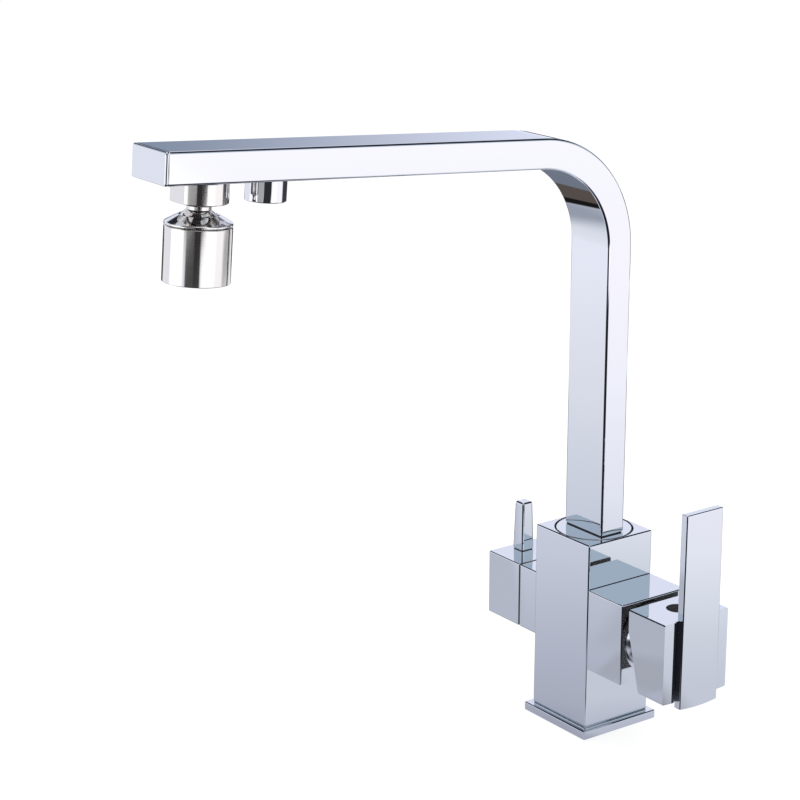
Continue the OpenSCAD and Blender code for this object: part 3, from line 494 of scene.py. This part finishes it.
def buildBasePlate():
    s = plateSizes
    outer = (plateHigh.x - plateLow.x) / 2
    hole = bodyWidth / 2 - columnSizes["footInset"] + s["holeSlack"]
    inGroove, outGroove, grooveDepth = s["groove"]
    low, high = plateLow.z, plateHigh.z
    profile = [(hole, low), (hole + inGroove, low), (hole + inGroove, low + grooveDepth),
               (hole + outGroove, low + grooveDepth), (hole + outGroove, low), (outer, low),
               (outer, high), (hole, high)]
    bm = bmesh.new()
    ring = first = openRing(bm, profile[0][0], profile[0][1], 4)
    for (size, height), (nextSize, nextHeight) in zip(profile, profile[1:]):
        ring = pullRing(bm, ring, nextHeight - height, nextSize / size)
    bmesh.ops.bridge_loops(bm, edges=first + ring)
    roundEdges(bm, s["edge"], s["edgeSteps"], onSides(outer))
    finishPiece("basePlate", bm, ["base_plate"])


buildColumn()
buildBasePlate()


# Valve block and its domed bonnet
print("mixer valve")
valveSizes = {
    "depth": 28 * mm,
    "height": 46 * mm,
    "bore": 19.4 * mm,
    "boreDepth": 24 * mm,
    "boreSides": 96,
    "edge": 0.8 * mm,
    "edgeSteps": 4,
}


def buildValveBlock():
    s = valveSizes
    bm = bmesh.new()
    back = openRing(bm, bodyWidth / 2, 0.0, 4, aspect=s["height"] / bodyWidth)
    front = pullRing(bm, back, s["depth"])
    capRing(bm, back)
    fillBetween(bm, front, sinkHole(bm, s["bore"], s["depth"], s["boreDepth"], s["boreSides"]))
    roundEdges(bm, s["edge"], s["edgeSteps"], onSides(bodyWidth / 2, s["height"] / 2))
    finishPiece("valveBlock", bm, ["valve_block"], valveFrame)


bonnetSizes = {
    "dome": 20.3 * mm,
    "height": 8 * mm,
    "mouth": 13.5 * mm,
    "skirt": 16.5 * mm,
    "lip": 2 * mm,
    "facets": 12,
    "edge": 0.3 * mm,
}


def buildBonnet():
    s = bonnetSizes
    pivot = jointPlace("lever_tilt").x - bodyWidth / 2
    low = valveSizes["depth"]
    outline = []
    for step in range(s["facets"] + 1):
        height = low + s["height"] * step / s["facets"]
        outline.append((sqrt(s["dome"] ** 2 - (height - pivot) ** 2), height))
    top = low + s["height"]
    outline += [(s["mouth"], top), (s["mouth"], top - s["lip"]),
                (s["skirt"], top - s["lip"]), (s["skirt"], low)]
    bm = bmesh.new()
    latheOutline(bm, outline, steps=fineSteps)
    finishPiece("bonnetDome", bm, ["valve_bonnet"], valveFrame, edge=s["edge"],
                finish=finishes["satinChrome"])


buildValveBlock()
buildBonnet()


# Lever hub and plate
print("lever")
leverSizes = {
    "thick": 4.5 * mm,
    "footWidth": 26.4 * mm,
    "topWidth": 25.2 * mm,
    "rise": 81.9 * mm,
    "fall": 26.2 * mm,
    "bulge": 0.9 * mm,
    "arcSteps": 12,
    "edge": 0.5 * mm,
}


def buildLeverPlate():
    s = leverSizes
    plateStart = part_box("lever_plate")[0].x - bodyWidth / 2
    half = s["footWidth"] / 2
    arcRadius = (half ** 2 + s["bulge"] ** 2) / (2 * s["bulge"])
    arcCentre = Vector((0.0, arcRadius - s["fall"] - s["bulge"], plateStart))
    swing = 2 * atan2(half, arcRadius - s["bulge"])
    bm = bmesh.new()
    start = bm.verts.new((-half, -s["fall"], plateStart))
    bmesh.ops.spin(bm, geom=[start], cent=arcCentre, axis=(0, 0, 1), angle=swing, steps=s["arcSteps"])
    bm.verts.new((s["topWidth"] / 2, s["rise"], plateStart))
    bm.verts.new((-s["topWidth"] / 2, s["rise"], plateStart))
    around = sorted(bm.verts, key=lambda vert: atan2(vert.co.y, vert.co.x))
    growFaces(bm, [bm.faces.new(around)], (0, 0, s["thick"]))
    finishPiece("leverPlate", bm, ["lever_plate"], valveFrame, edge=s["edge"])


hubSizes = {
    "cavity": 21.0 * mm,
    "cavitySlack": 0.5 * mm,
    "recess": 6.2 * mm,
    "recessDepth": 3 * mm,
    "recessInset": 14.9 * mm,
    "edge": 0.5 * mm,
}


def buildLeverHub():
    s = hubSizes
    pivot = jointPlace("lever_tilt")
    low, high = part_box("lever_hub")
    axis = Vector((high.x - s["recessInset"], 0.0))

    # the hub's back face, the screw recess's wall and the cavity round the pivot get painted shade
    def getsPaintedShade(centre, normal):
        recessWall = ((centre.xy - axis).length < s["recess"] + near and abs(normal.z) < facing
                      and centre.z > high.z - s["recessDepth"] - near)
        return (centre.x < low.x + near or recessWall
                or (centre - pivot).length < s["cavity"] + s["cavitySlack"])

    finishPiece("leverHub", copyNode("lever_hub"), ["lever_hub"], edge=s["edge"], rounds=4,
                inside=getsPaintedShade)


buildLeverPlate()
buildLeverHub()


# Filtered-water valve: fixed stub, turning knob and its pin
print("filtered-water valve")
knobSizes = {
    "width": 37 * mm,
    "stubDepth": 18.7 * mm,
    "gap": 0.4 * mm,
    "knobDepth": 27.7 * mm,
    "stubBore": 10.4 * mm,
    "stubBoreDepth": 15.7 * mm,
    "cavity": 14 * mm,
    "cavityDepth": 10.5 * mm,
    "edge": 0.75 * mm,
    "edgeSteps": 4,
}


def buildStub():
    s = knobSizes
    bm = bmesh.new()
    back = openRing(bm, s["width"] / 2, 0.0, 4)
    front = pullRing(bm, back, s["stubDepth"])
    capRing(bm, back)
    fillBetween(bm, front, sinkHole(bm, s["stubBore"], s["stubDepth"], s["stubBoreDepth"]))
    roundEdges(bm, s["edge"], s["edgeSteps"], onSides(s["width"] / 2))
    # the stub's face towards the knob and its bore get painted shade, for the dark gap between stub and knob
    finishPiece("filterStub", bm, ["filter_stub"], filterFrame,
                inside=lambda centre, normal: normal.z > facing or centre.xy.length < s["stubBore"])


def buildKnob():
    s = knobSizes
    start = s["stubDepth"] + s["gap"]
    bm = bmesh.new()
    back = openRing(bm, s["width"] / 2, start, 4)
    capRing(bm, pullRing(bm, back, s["knobDepth"]))
    fillBetween(bm, back, sinkHole(bm, s["cavity"], start, -s["cavityDepth"]))
    roundEdges(bm, s["edge"], s["edgeSteps"], onSides(s["width"] / 2))

    # the knob's back face towards the stub and its cavity get painted shade
    def getsPaintedShade(centre, normal):
        inCavity = centre.xy.length < s["cavity"] and centre.z < start + s["cavityDepth"] + mm
        return normal.z < -facing or inCavity

    finishPiece("filterKnob", bm, ["filter_knob"], filterFrame, inside=getsPaintedShade)


pinSizes = {
    "footWidth": 8.8 * mm,
    "topWidth": 7.4 * mm,
    "height": 28.5 * mm,
    "neckInset": 0.35 * mm,
    "neckHeight": 0.5 * mm,
    "tenonRadius": 2.95 * mm,
    "tenonLength": 14.5 * mm,
    "tenonSides": 32,
    "edge": 1.3 * mm,
    "edgeSteps": 5,
}


def buildPin():
    s = pinSizes
    low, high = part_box("filter_pin")
    centre = ((low.x + high.x) / 2, (low.y + high.y) / 2)
    foot = filterAxis + knobSizes["width"] / 2
    start = foot + s["neckHeight"]
    neckShare = 1 - 2 * s["neckInset"] / s["footWidth"]
    bm = bmesh.new()
    ring = openRing(bm, s["footWidth"] / 2, start, 4, centre)
    capRing(bm, pullRing(bm, ring, foot + s["height"] - start, s["topWidth"] / s["footWidth"]))
    roundEdges(bm, s["edge"], s["edgeSteps"], lambda point: True)
    base = pullRing(bm, pullRing(bm, openEdges(bm), 0.0, neckShare), -s["neckHeight"])
    tenon = openRing(bm, s["tenonRadius"], foot, s["tenonSides"], centre)
    fillBetween(bm, base, tenon)
    capRing(bm, pullRing(bm, tenon, -s["tenonLength"]))
    # the neck at the pin's foot gets painted shade, a dark shadow line where the pin stands on the knob
    finishPiece("filterPin", bm, ["filter_pin"], inside=lambda centre, normal: centre.z < start - hair)


buildStub()
buildKnob()
buildPin()


# Spout: one flat section swept up the post, round the bend and along the arm
print("spout")
spoutSizes = {
    "width": 31 * mm,
    "thick": 16 * mm,
    "wall": 1.5 * mm,
    "corner": 1.3 * mm,
    "cornerSteps": 5,
    "neckInset": 0.5 * mm,
    "neckHeight": 0.7 * mm,
    "bendRadius": 56 * mm,
    "bendSteps": 72,
    "postHeight": 159.5 * mm,
    "armRise": 4.5,          # degrees
    "armLength": 222.5 * mm,
    "capThick": 2 * mm,
    "aeratorInset": 28 * mm,
    "filterInset": 64.5 * mm,
    "capEdge": 0.8 * mm,
}
bendCentre = Vector((0.0, -spoutSizes["bendRadius"], bodyTop + spoutSizes["postHeight"]))
bendFrame = Matrix.Translation(bendCentre) @ Matrix.Rotation(-radians(spoutSizes["armRise"]), 4, "X")
armUnderside = spoutSizes["bendRadius"] - spoutSizes["thick"] / 2


def underArm(distance):  # z runs down from the arm's underside, y towards the tip
    return bendFrame @ Matrix.Translation((0, -distance, armUnderside)) @ Matrix.Rotation(pi, 4, "X")


aeratorFrame = underArm(spoutSizes["armLength"] - spoutSizes["aeratorInset"])
nozzleFrame = underArm(spoutSizes["armLength"] - spoutSizes["filterInset"])


def flatSection(bm, z):  # the spout's section as one face, long side along x
    s = spoutSizes
    face = bmesh.ops.create_grid(bm, x_segments=1, y_segments=1, size=0.5)["verts"]
    bmesh.ops.scale(bm, verts=face, vec=(s["width"], s["thick"], 1.0))
    bmesh.ops.translate(bm, verts=face, vec=(0, 0, z))
    bmesh.ops.bevel(bm, geom=face, offset=s["corner"], offset_type="OFFSET", affect="VERTICES",
                    segments=s["cornerSteps"], profile=0.5, material=-1)
    return list(bm.faces)


def buildSpout():
    s = spoutSizes
    rise = radians(s["armRise"])
    start = bodyTop + s["neckHeight"]
    bm = bmesh.new()
    section = flatSection(bm, start)
    end = growFaces(bm, section, (0, 0, bodyTop + s["postHeight"] - start))
    bmesh.ops.delete(bm, geom=section, context="FACES_ONLY")
    shrink = [1 - 2 * s["neckInset"] / s[side] for side in ("width", "thick")]
    shoulder = bmesh.ops.extrude_edge_only(bm, edges=openEdges(bm))["geom"]
    bmesh.ops.scale(bm, verts=only(shoulder, BMVert), vec=(*shrink, 1.0))
    pullRing(bm, openEdges(bm), -s["neckHeight"])
    edges = [edge for face in end for edge in face.edges]
    verts = [vert for face in end for vert in face.verts]
    bmesh.ops.delete(bm, geom=end, context="FACES_ONLY")
    swept = bmesh.ops.spin(bm, geom=verts + edges, cent=bendCentre, axis=(1, 0, 0), angle=pi / 2 - rise,
                           steps=s["bendSteps"])["geom_last"]
    arm = bmesh.ops.extrude_edge_only(bm, edges=only(swept, BMEdge))["geom"]
    reach = s["armLength"] - s["capThick"]
    bmesh.ops.translate(bm, verts=only(arm, BMVert), vec=(0, -reach * cos(rise), reach * sin(rise)))
    # the neck at the post's foot gets painted shade, a dark shadow line where the post meets the disc
    finishPiece("spoutTube", bm, ["spout_tube"], wall=s["wall"],
                inside=lambda centre, normal: centre.z < start - hair)


def buildTipCap():
    s = spoutSizes
    armEnd = Matrix.Translation((0, -s["armLength"], s["bendRadius"])) @ Matrix.Rotation(-pi / 2, 4, "X")
    bm = bmesh.new()
    growFaces(bm, flatSection(bm, 0.0), (0, 0, s["capThick"]))
    finishPiece("armTip", bm, ["tip_cap"], bendFrame @ armEnd, edge=s["capEdge"])


swivelSizes = {
    "disc": 21 * mm,
    "discThick": 4 * mm,
    "shank": 15 * mm,
    "shankEnd": 75.5 * mm,
    "bore": 10.5 * mm,
    "throat": 6 * mm,
    "edge": 0.8 * mm,
    "edgeSteps": 3,
}


def buildSwivelDisc():
    s = swivelSizes
    low = bodyTop - s["discThick"]
    outline = [(s["bore"], s["shankEnd"]), (s["shank"], s["shankEnd"]), (s["shank"], low), (s["disc"], low),
               (s["disc"], bodyTop), (s["throat"], bodyTop), (s["throat"], low), (s["bore"], low)]
    bm = bmesh.new()
    latheOutline(bm, outline, steps=fineSteps)
    roundEdges(bm, s["edge"], s["edgeSteps"], lambda point: point.xy.length > s["disc"] - near)
    # the disc's side and the shank below the column's top get painted shade, for the seam round the disc
    finishPiece("swivelDisc", bm, ["spout_shank"],
                inside=lambda centre, normal: centre.z < bodyTop - near)


buildSpout()
buildTipCap()
buildSwivelDisc()


# Outlets under the arm
print("outlets")
adapterSizes = {
    "radius": 13.8 * mm,
    "flat": 12.3 * mm,
    "height": 10.4 * mm,
    "throat": 4.56 * mm,
    "edge": 0.4 * mm,
}


def buildAdapter():
    s = adapterSizes
    bm = bmesh.new()
    latheOutline(bm, [(s["throat"], 0.0), (s["radius"], 0.0), (s["radius"], s["height"]),
                      (s["throat"], s["height"])])
    for side in (-1, 1):  # the two flats for a spanner
        everything = [*bm.verts, *bm.edges, *bm.faces]
        bmesh.ops.bisect_plane(bm, geom=everything, dist=mergeDistance / 10, clear_outer=True,
                               plane_co=(0, side * s["flat"], 0), plane_no=(0, side, 0))
        capRing(bm, openEdges(bm))
    finishPiece("outletNut", bm, ["aerator_adapter"], aeratorFrame, edge=s["edge"])


headSizes = {
    "radius": 16.3 * mm,
    "ballDepth": 22.8 * mm,     # ball centre below the arm
    "lipUp": 6.6 * mm,
    "lipRadius": 9.35 * mm,
    "lipThick": 0.8 * mm,
    "coneTop": 10.05 * mm,
    "rimUp": 3.2 * mm,
    "rimThick": 1.2 * mm,
    "seam": 0.4 * mm,
    "skirt": 14.4 * mm,
    "skirtIn": 13.2 * mm,
    "skirtLength": 5.3 * mm,
    "length": 27 * mm,
    "bore": 13.3 * mm,
    "mouth": 12.2 * mm,
    "mouthThick": 1.7 * mm,
    "edge": 0.35 * mm,
}


def buildAeratorHead():
    s = headSizes
    lip = s["ballDepth"] - s["lipUp"]
    rim = s["ballDepth"] - s["rimUp"]
    join = rim + s["rimThick"]
    bm = bmesh.new()
    latheOutline(bm, [(s["lipRadius"], lip), (s["coneTop"], lip), (s["radius"], rim), (s["radius"], join),
                      (s["skirt"], join), (s["skirt"], join + s["skirtLength"]),
                      (s["skirtIn"], join + s["skirtLength"]), (s["skirtIn"], rim + s["rimThick"] / 2),
                      (s["lipRadius"], lip + s["lipThick"])], steps=fineSteps)
    finishPiece("headCap", bm, ["shoulder_cap"], aeratorFrame, edge=s["edge"])
    start = join + s["seam"]
    end = start + s["length"]
    bm = bmesh.new()
    latheOutline(bm, [(s["skirt"], start), (s["radius"], start), (s["radius"], end), (s["mouth"], end),
                      (s["mouth"], end - s["mouthThick"]), (s["bore"], end - s["mouthThick"]),
                      (s["bore"], start + s["skirtLength"]), (s["skirt"], start + s["skirtLength"])],
                 steps=fineSteps)
    finishPiece("headHousing", bm, ["aerator_housing"], aeratorFrame, edge=s["edge"])


ballSizes = {
    "radius": 10.8 * mm,
    "neck": 5.8 * mm,
    "neckStart": 10.9 * mm,     # above the ball's centre
    "cut": 6.5 * mm,
    "throat": 2.4 * mm,
    "arcSteps": 24,
}


def buildBall():
    s = ballSizes
    centre = headSizes["ballDepth"]
    outline = [(s["throat"], centre - s["neckStart"]), (s["neck"], centre - s["neckStart"])]
    top = atan2(s["neck"], sqrt(s["radius"] ** 2 - s["neck"] ** 2))
    bottom = pi / 2 + atan2(s["cut"], sqrt(s["radius"] ** 2 - s["cut"] ** 2))
    for step in range(s["arcSteps"] + 1):
        angle = top + (bottom - top) * step / s["arcSteps"]
        outline.append((s["radius"] * sin(angle), centre - s["radius"] * cos(angle)))
    outline.append((s["throat"], centre + s["cut"]))
    bm = bmesh.new()
    latheOutline(bm, outline)
    finishPiece("swivelBall", bm, ["swivel_ball"], aeratorFrame)


nozzleSizes = {
    "radius": 10.05 * mm,
    "length": 11.3 * mm,
    "cup": 8.05 * mm,
    "cupDepth": 2 * mm,
    "bore": 3 * mm,
    "edge": 0.5 * mm,
}


def buildNozzle():
    s = nozzleSizes
    bm = bmesh.new()
    cupFloor = s["length"] - s["cupDepth"]
    latheOutline(bm, [(s["bore"], 0.0), (s["radius"], 0.0), (s["radius"], s["length"]),
                      (s["cup"], s["length"]), (s["cup"], cupFloor), (s["bore"], cupFloor)])
    finishPiece("filterNozzle", bm, ["filter_nozzle"], nozzleFrame, edge=s["edge"])


buildAdapter()
buildAeratorHead()
buildBall()
buildNozzle()


# Studio: floor, surroundings, lamps and camera
print("studio")
plainWhite = (1.0, 1.0, 1.0, 1.0)
studio = {
    "roomLight": 0.8,
    "lampPower": 14.0,
    "floorHalf": 8.0,          # metres from the middle to each side
    "floorColour": (0.9, 0.9, 0.9, 1.0),
    "floorGlow": 1.12,         # the camera sees this glow mixed with the lit floor
    "floorGlowShare": 0.72,
    "floorReach": 2.0,         # metres covered by the floor's two colour ramps, the sky's runs over slope
    "windowSide": (45.0, 75.0, 10.0),      # the brighter side's place on the compass, as for the cards
    "zenithSlack": 1e-4,       # keeps the slope finite straight up
    "shadeStops": [(0.0, (0.31, 0.33, 0.40)), (0.025, (0.45, 0.47, 0.56)), (0.05, (0.48, 0.50, 0.60)),
                   (0.14, (0.62, 0.65, 0.75)), (0.32, (0.79, 0.81, 0.88)), (0.55, (0.90, 0.91, 1.0)),
                   (1.0, (0.84, 0.85, 0.94))],
    "windowStops": [(0.0, (0.42, 0.45, 0.54)), (0.03, (0.62, 0.65, 0.735)), (0.09, (0.62, 0.65, 0.73)),
                    (0.125, (0.68, 0.72, 0.79)), (0.158, (0.77, 0.80, 0.875)), (0.2, (0.87, 0.88, 0.965)),
                    (0.34, (0.99, 0.99, 1.06)), (0.52, (1.07, 1.04, 1.10)),
                    (1.0, (1.10, 1.08, 1.10))],
    "skyStops": [(0.0, (0.92, 0.95, 1.14)), (0.2, (0.84, 0.87, 1.02)), (0.45, (0.78, 0.81, 0.95)),
                 (1.0, (0.97, 0.97, 1.02))],
}

# Cards that polished metal sees, later ones over earlier ones. Each has its place on the compass
# (middle, half width and softness, in degrees from +X), its reach (low, high and softness, in metres
# from the tap on the floor, or as height over distance in the air) and its colour.
floorCards = {
    "darkFront": ((-44, 60, 6), (0.14, 1.0, 0.05), (0.015, 0.015, 0.02)),
    "darkFrontNear": ((-47, 22, 5), (0.07, 0.13, 0.02), (0.03, 0.03, 0.035)),
    "darkFrontUp": ((-62, 36, 4), (0.95, 1.65, 0.05), (0.03, 0.03, 0.035)),
    "greyFar": ((-62, 16, 3), (3.2, 9, 0.1), (0.42, 0.42, 0.43)),
    "darkFar": ((-50.5, 21.5, 2), (1.6, 3.15, 0.08), (0.06, 0.06, 0.062)),
    "darkFarRight": ((-27, 19, 2), (2.05, 9, 0.08), (0.03, 0.03, 0.032)),
    "whiteCardLeft": ((-103, 23, 3), (1.9, 9, 0.1), (1.25, 1.26, 1.3)),
    "whiteCardRight": ((-3, 24, 3), (1.1, 1.93, 0.06), (1.25, 1.26, 1.3)),
    "brownBench": ((-176.5, 14, 1.5), (0.12, 0.65, 0.05), (0.10, 0.082, 0.072)),
    "blueWall": ((157, 14, 2), (0.28, 1.5, 0.05), (0.17, 0.195, 0.25)),
    "benchShade": ((-156, 8, 5), (0.3, 0.62, 0.1), (0.34, 0.37, 0.44)),
    "benchEdge": ((-166, 3, 0.8), (0.2, 0.65, 0.05), (0.01, 0.01, 0.01)),
    "edgeRight": ((95, 30, 6), (0.1, 0.72, 0.05), (0.06, 0.06, 0.07)),
    "greyRight": ((82, 28, 8), (0.78, 1.02, 0.04), (0.45, 0.45, 0.47)),
    "edgeRightUp": ((107, 42, 5), (1.05, 9, 0.03), (0.05, 0.05, 0.06)),
    "edgeRightFar": ((138, 13, 4), (0.9, 1.1, 0.04), (0.06, 0.06, 0.06)),
    "edgeLeftFar": ((178, 16, 4), (1.0, 1.8, 0.08), (0.05, 0.05, 0.05)),
    "hubShadeLow": ((-103, 13, 2), (0.09, 0.135, 0.01), (0.42, 0.44, 0.50)),
    "hubShade": ((-112, 12, 3), (0.135, 0.26, 0.015), (0.47, 0.50, 0.57)),
    "knobShade": ((-153, 9, 1), (0.13, 0.3, 0.02), (0.51, 0.54, 0.62)),
    "underRight": ((100, 30, 6), (-1, 0.11, 0.03), (0.06, 0.06, 0.07)),
    "underLeft": ((-175, 30, 6), (-1, 0.1, 0.03), (0.06, 0.06, 0.07)),
}
skyCards = {
    "darkFront": ((-50, 45, 6), (-9, 1.1, 0.15), (0.02, 0.02, 0.025)),
    "blueWall": ((162, 19, 8), (0.02, 0.17, 0.02), (0.22, 0.27, 0.37)),
    "rightWall": ((38, 32, 8), (0.1, 0.85, 0.08), (0.44, 0.53, 0.63)),
    "leftWall": ((-137, 24, 6), (0.2, 0.62, 0.06), (0.42, 0.50, 0.60)),
    "backWall": ((104, 24, 4), (-9, 0.7, 0.06), (0.06, 0.06, 0.07)),
    "flagLeft": ((-168, 38, 5), (0.46, 2.5, 0.05), (0.02, 0.02, 0.03)),
    "flagRight": ((84, 44, 5), (0.46, 2.5, 0.05), (0.02, 0.02, 0.03)),
}


def sector(angle, middle, halfWidth, softness):  # 1 inside a sector of the compass
    turned = angle + (2.5 * 360.0 - middle)  # never below 0, and half a turn past whole turns in the middle
    away = turned.maths("MODULO", turned, 360.0) - 180.0
    away = away.maths("ABSOLUTE", away)
    return 1.0 - smoothBetween(away, halfWidth - softness, halfWidth + softness)


def band(value, low, high, softness):
    return smoothBetween(value, low - softness, low + softness) * (
        1.0 - smoothBetween(value, high - softness, high + softness))


def layCards(colour, angle, reach, cards):
    for compassPlace, reachPlace, cardColour in cards.values():
        cover = sector(angle, *compassPlace) * band(reach, *reachPlace)
        colour = blendColours(cover, colour, (*cardColour, 1.0))
    return colour


def rampAlong(value, stops):
    return value.node("ShaderNodeValToRGB", {"stops": stops}, {0: value})


def compassOf(x, y):
    return x.maths("ARCTAN2", y, x) * (180 / pi)


def distanceOf(x, y):
    return x.maths("SQRT", x * x + y * y)


def floorColours(x, y):
    angle, reach = compassOf(x, y), distanceOf(x, y)
    share = reach / studio["floorReach"]
    colour = blendColours(sector(angle, *studio["windowSide"]), rampAlong(share, studio["shadeStops"]),
                          rampAlong(share, studio["windowStops"]))
    return layCards(colour, angle, reach, floorCards)


def skyColours(x, y, z):
    slope = z / (distanceOf(x, y) + studio["zenithSlack"])
    return layCards(rampAlong(slope, studio["skyStops"]), compassOf(x, y), slope, skyCards)


def axesOf(vector, count):
    split = vector.node("ShaderNodeSeparateXYZ", inputs={0: vector}).socket.node
    return [Signal(vector.tree, split.outputs[index]) for index in range(count)]


def rayKinds(start):
    rays = start.node("ShaderNodeLightPath").socket.node
    return [Signal(start.tree, rays.outputs[kind]) for kind in ("Is Camera Ray", "Is Glossy Ray")]


def background(start, colour, strength=1.0):
    return start.node("ShaderNodeBackground", inputs={"Color": colour, "Strength": strength})


def emission(start, colour, strength=1.0):
    return start.node("ShaderNodeEmission", inputs={"Color": colour, "Strength": strength})


def mixShaders(factor, first, second):
    return second.node("ShaderNodeMixShader", inputs={0: factor, 1: first, 2: second})


def chooseByRay(start, plain, mirrored, seen):  # one shader for light, one in mirrors, one for the camera
    camera, glossy = rayKinds(start)
    return mixShaders(camera, mixShaders(glossy, plain, mirrored), seen)


def buildWorld():
    world = bpy.data.worlds.new("studioRoom")
    bpy.context.scene.world = world
    world.use_nodes = True
    tree = world.node_tree
    tree.nodes.clear()
    start = Signal(tree)
    direction = start.node("ShaderNodeTexCoord")
    room = background(start, plainWhite, studio["roomLight"])
    mirrored = background(start, skyColours(*axesOf(direction, 3)))
    whole = chooseByRay(start, room, mirrored, background(start, plainWhite))
    whole.feed(tree.nodes.new("ShaderNodeOutputWorld"), "Surface")


def buildFloor():
    bm = bmesh.new()
    bmesh.ops.create_grid(bm, x_segments=1, y_segments=1, size=studio["floorHalf"])
    mesh = meshFrom(bm, "studioFloor")
    floor = addObject("studioFloor", mesh)
    material = bpy.data.materials.new("paleFloor")
    material.use_nodes = True
    tree = material.node_tree
    tree.nodes.clear()
    start = Signal(tree)
    place = start.node("ShaderNodeTexCoord", output=3)
    plain = start.node("ShaderNodeBsdfDiffuse", inputs={"Color": studio["floorColour"]})
    seen = mixShaders(studio["floorGlowShare"], plain, emission(start, plainWhite, studio["floorGlow"]))
    mirrored = emission(start, floorColours(*axesOf(place, 2)))
    whole = chooseByRay(start, plain, mirrored, seen)
    whole.feed(tree.nodes.new("ShaderNodeOutputMaterial"), "Surface")
    mesh.materials.append(material)


lampTarget = (0.0, -0.08, 0.15)
lamps = {
    "keyLamp": {"place": (0.9, 0.5, 1.4), "size": 1.2, "share": 1.0},
    "fillLamp": {"place": (-1.2, -0.9, 1.1), "size": 1.4, "share": 0.6},
    "frontLamp": {"place": (0.6, -1.5, 1.2), "size": 1.0, "share": 0.5},
}


def aimAt(holder, place, target):
    holder.location = place
    holder.rotation_euler = (Vector(target) - Vector(place)).to_track_quat("-Z", "Y").to_euler()


def buildLamps():
    for name, lamp in lamps.items():
        light = bpy.data.lights.new(name, "AREA")
        light.shape = "SQUARE"
        light.size = lamp["size"]
        light.energy = studio["lampPower"] * lamp["share"]
        holder = addObject(name, light)
        aimAt(holder, lamp["place"], lampTarget)
        holder.visible_glossy = False


shot = {
    "place": (0.92089, -0.80049, 0.54767),
    "target": (-0.06266, -0.08627, 0.18427),
    "lens": 105.57,
    "sensor": 36.0,
    "clip": (0.01, 50.0),
}


def buildCamera():
    data = bpy.data.cameras.new("shotCamera")
    data.lens = shot["lens"]
    data.sensor_width = shot["sensor"]
    data.clip_start, data.clip_end = shot["clip"]
    camera = addObject("shotCamera", data)
    aimAt(camera, shot["place"], shot["target"])
    bpy.context.scene.camera = camera


buildWorld()
buildFloor()
buildLamps()
buildCamera()
bpy.context.scene.view_settings.view_transform = "Standard"

bpy.context.view_layer.update()
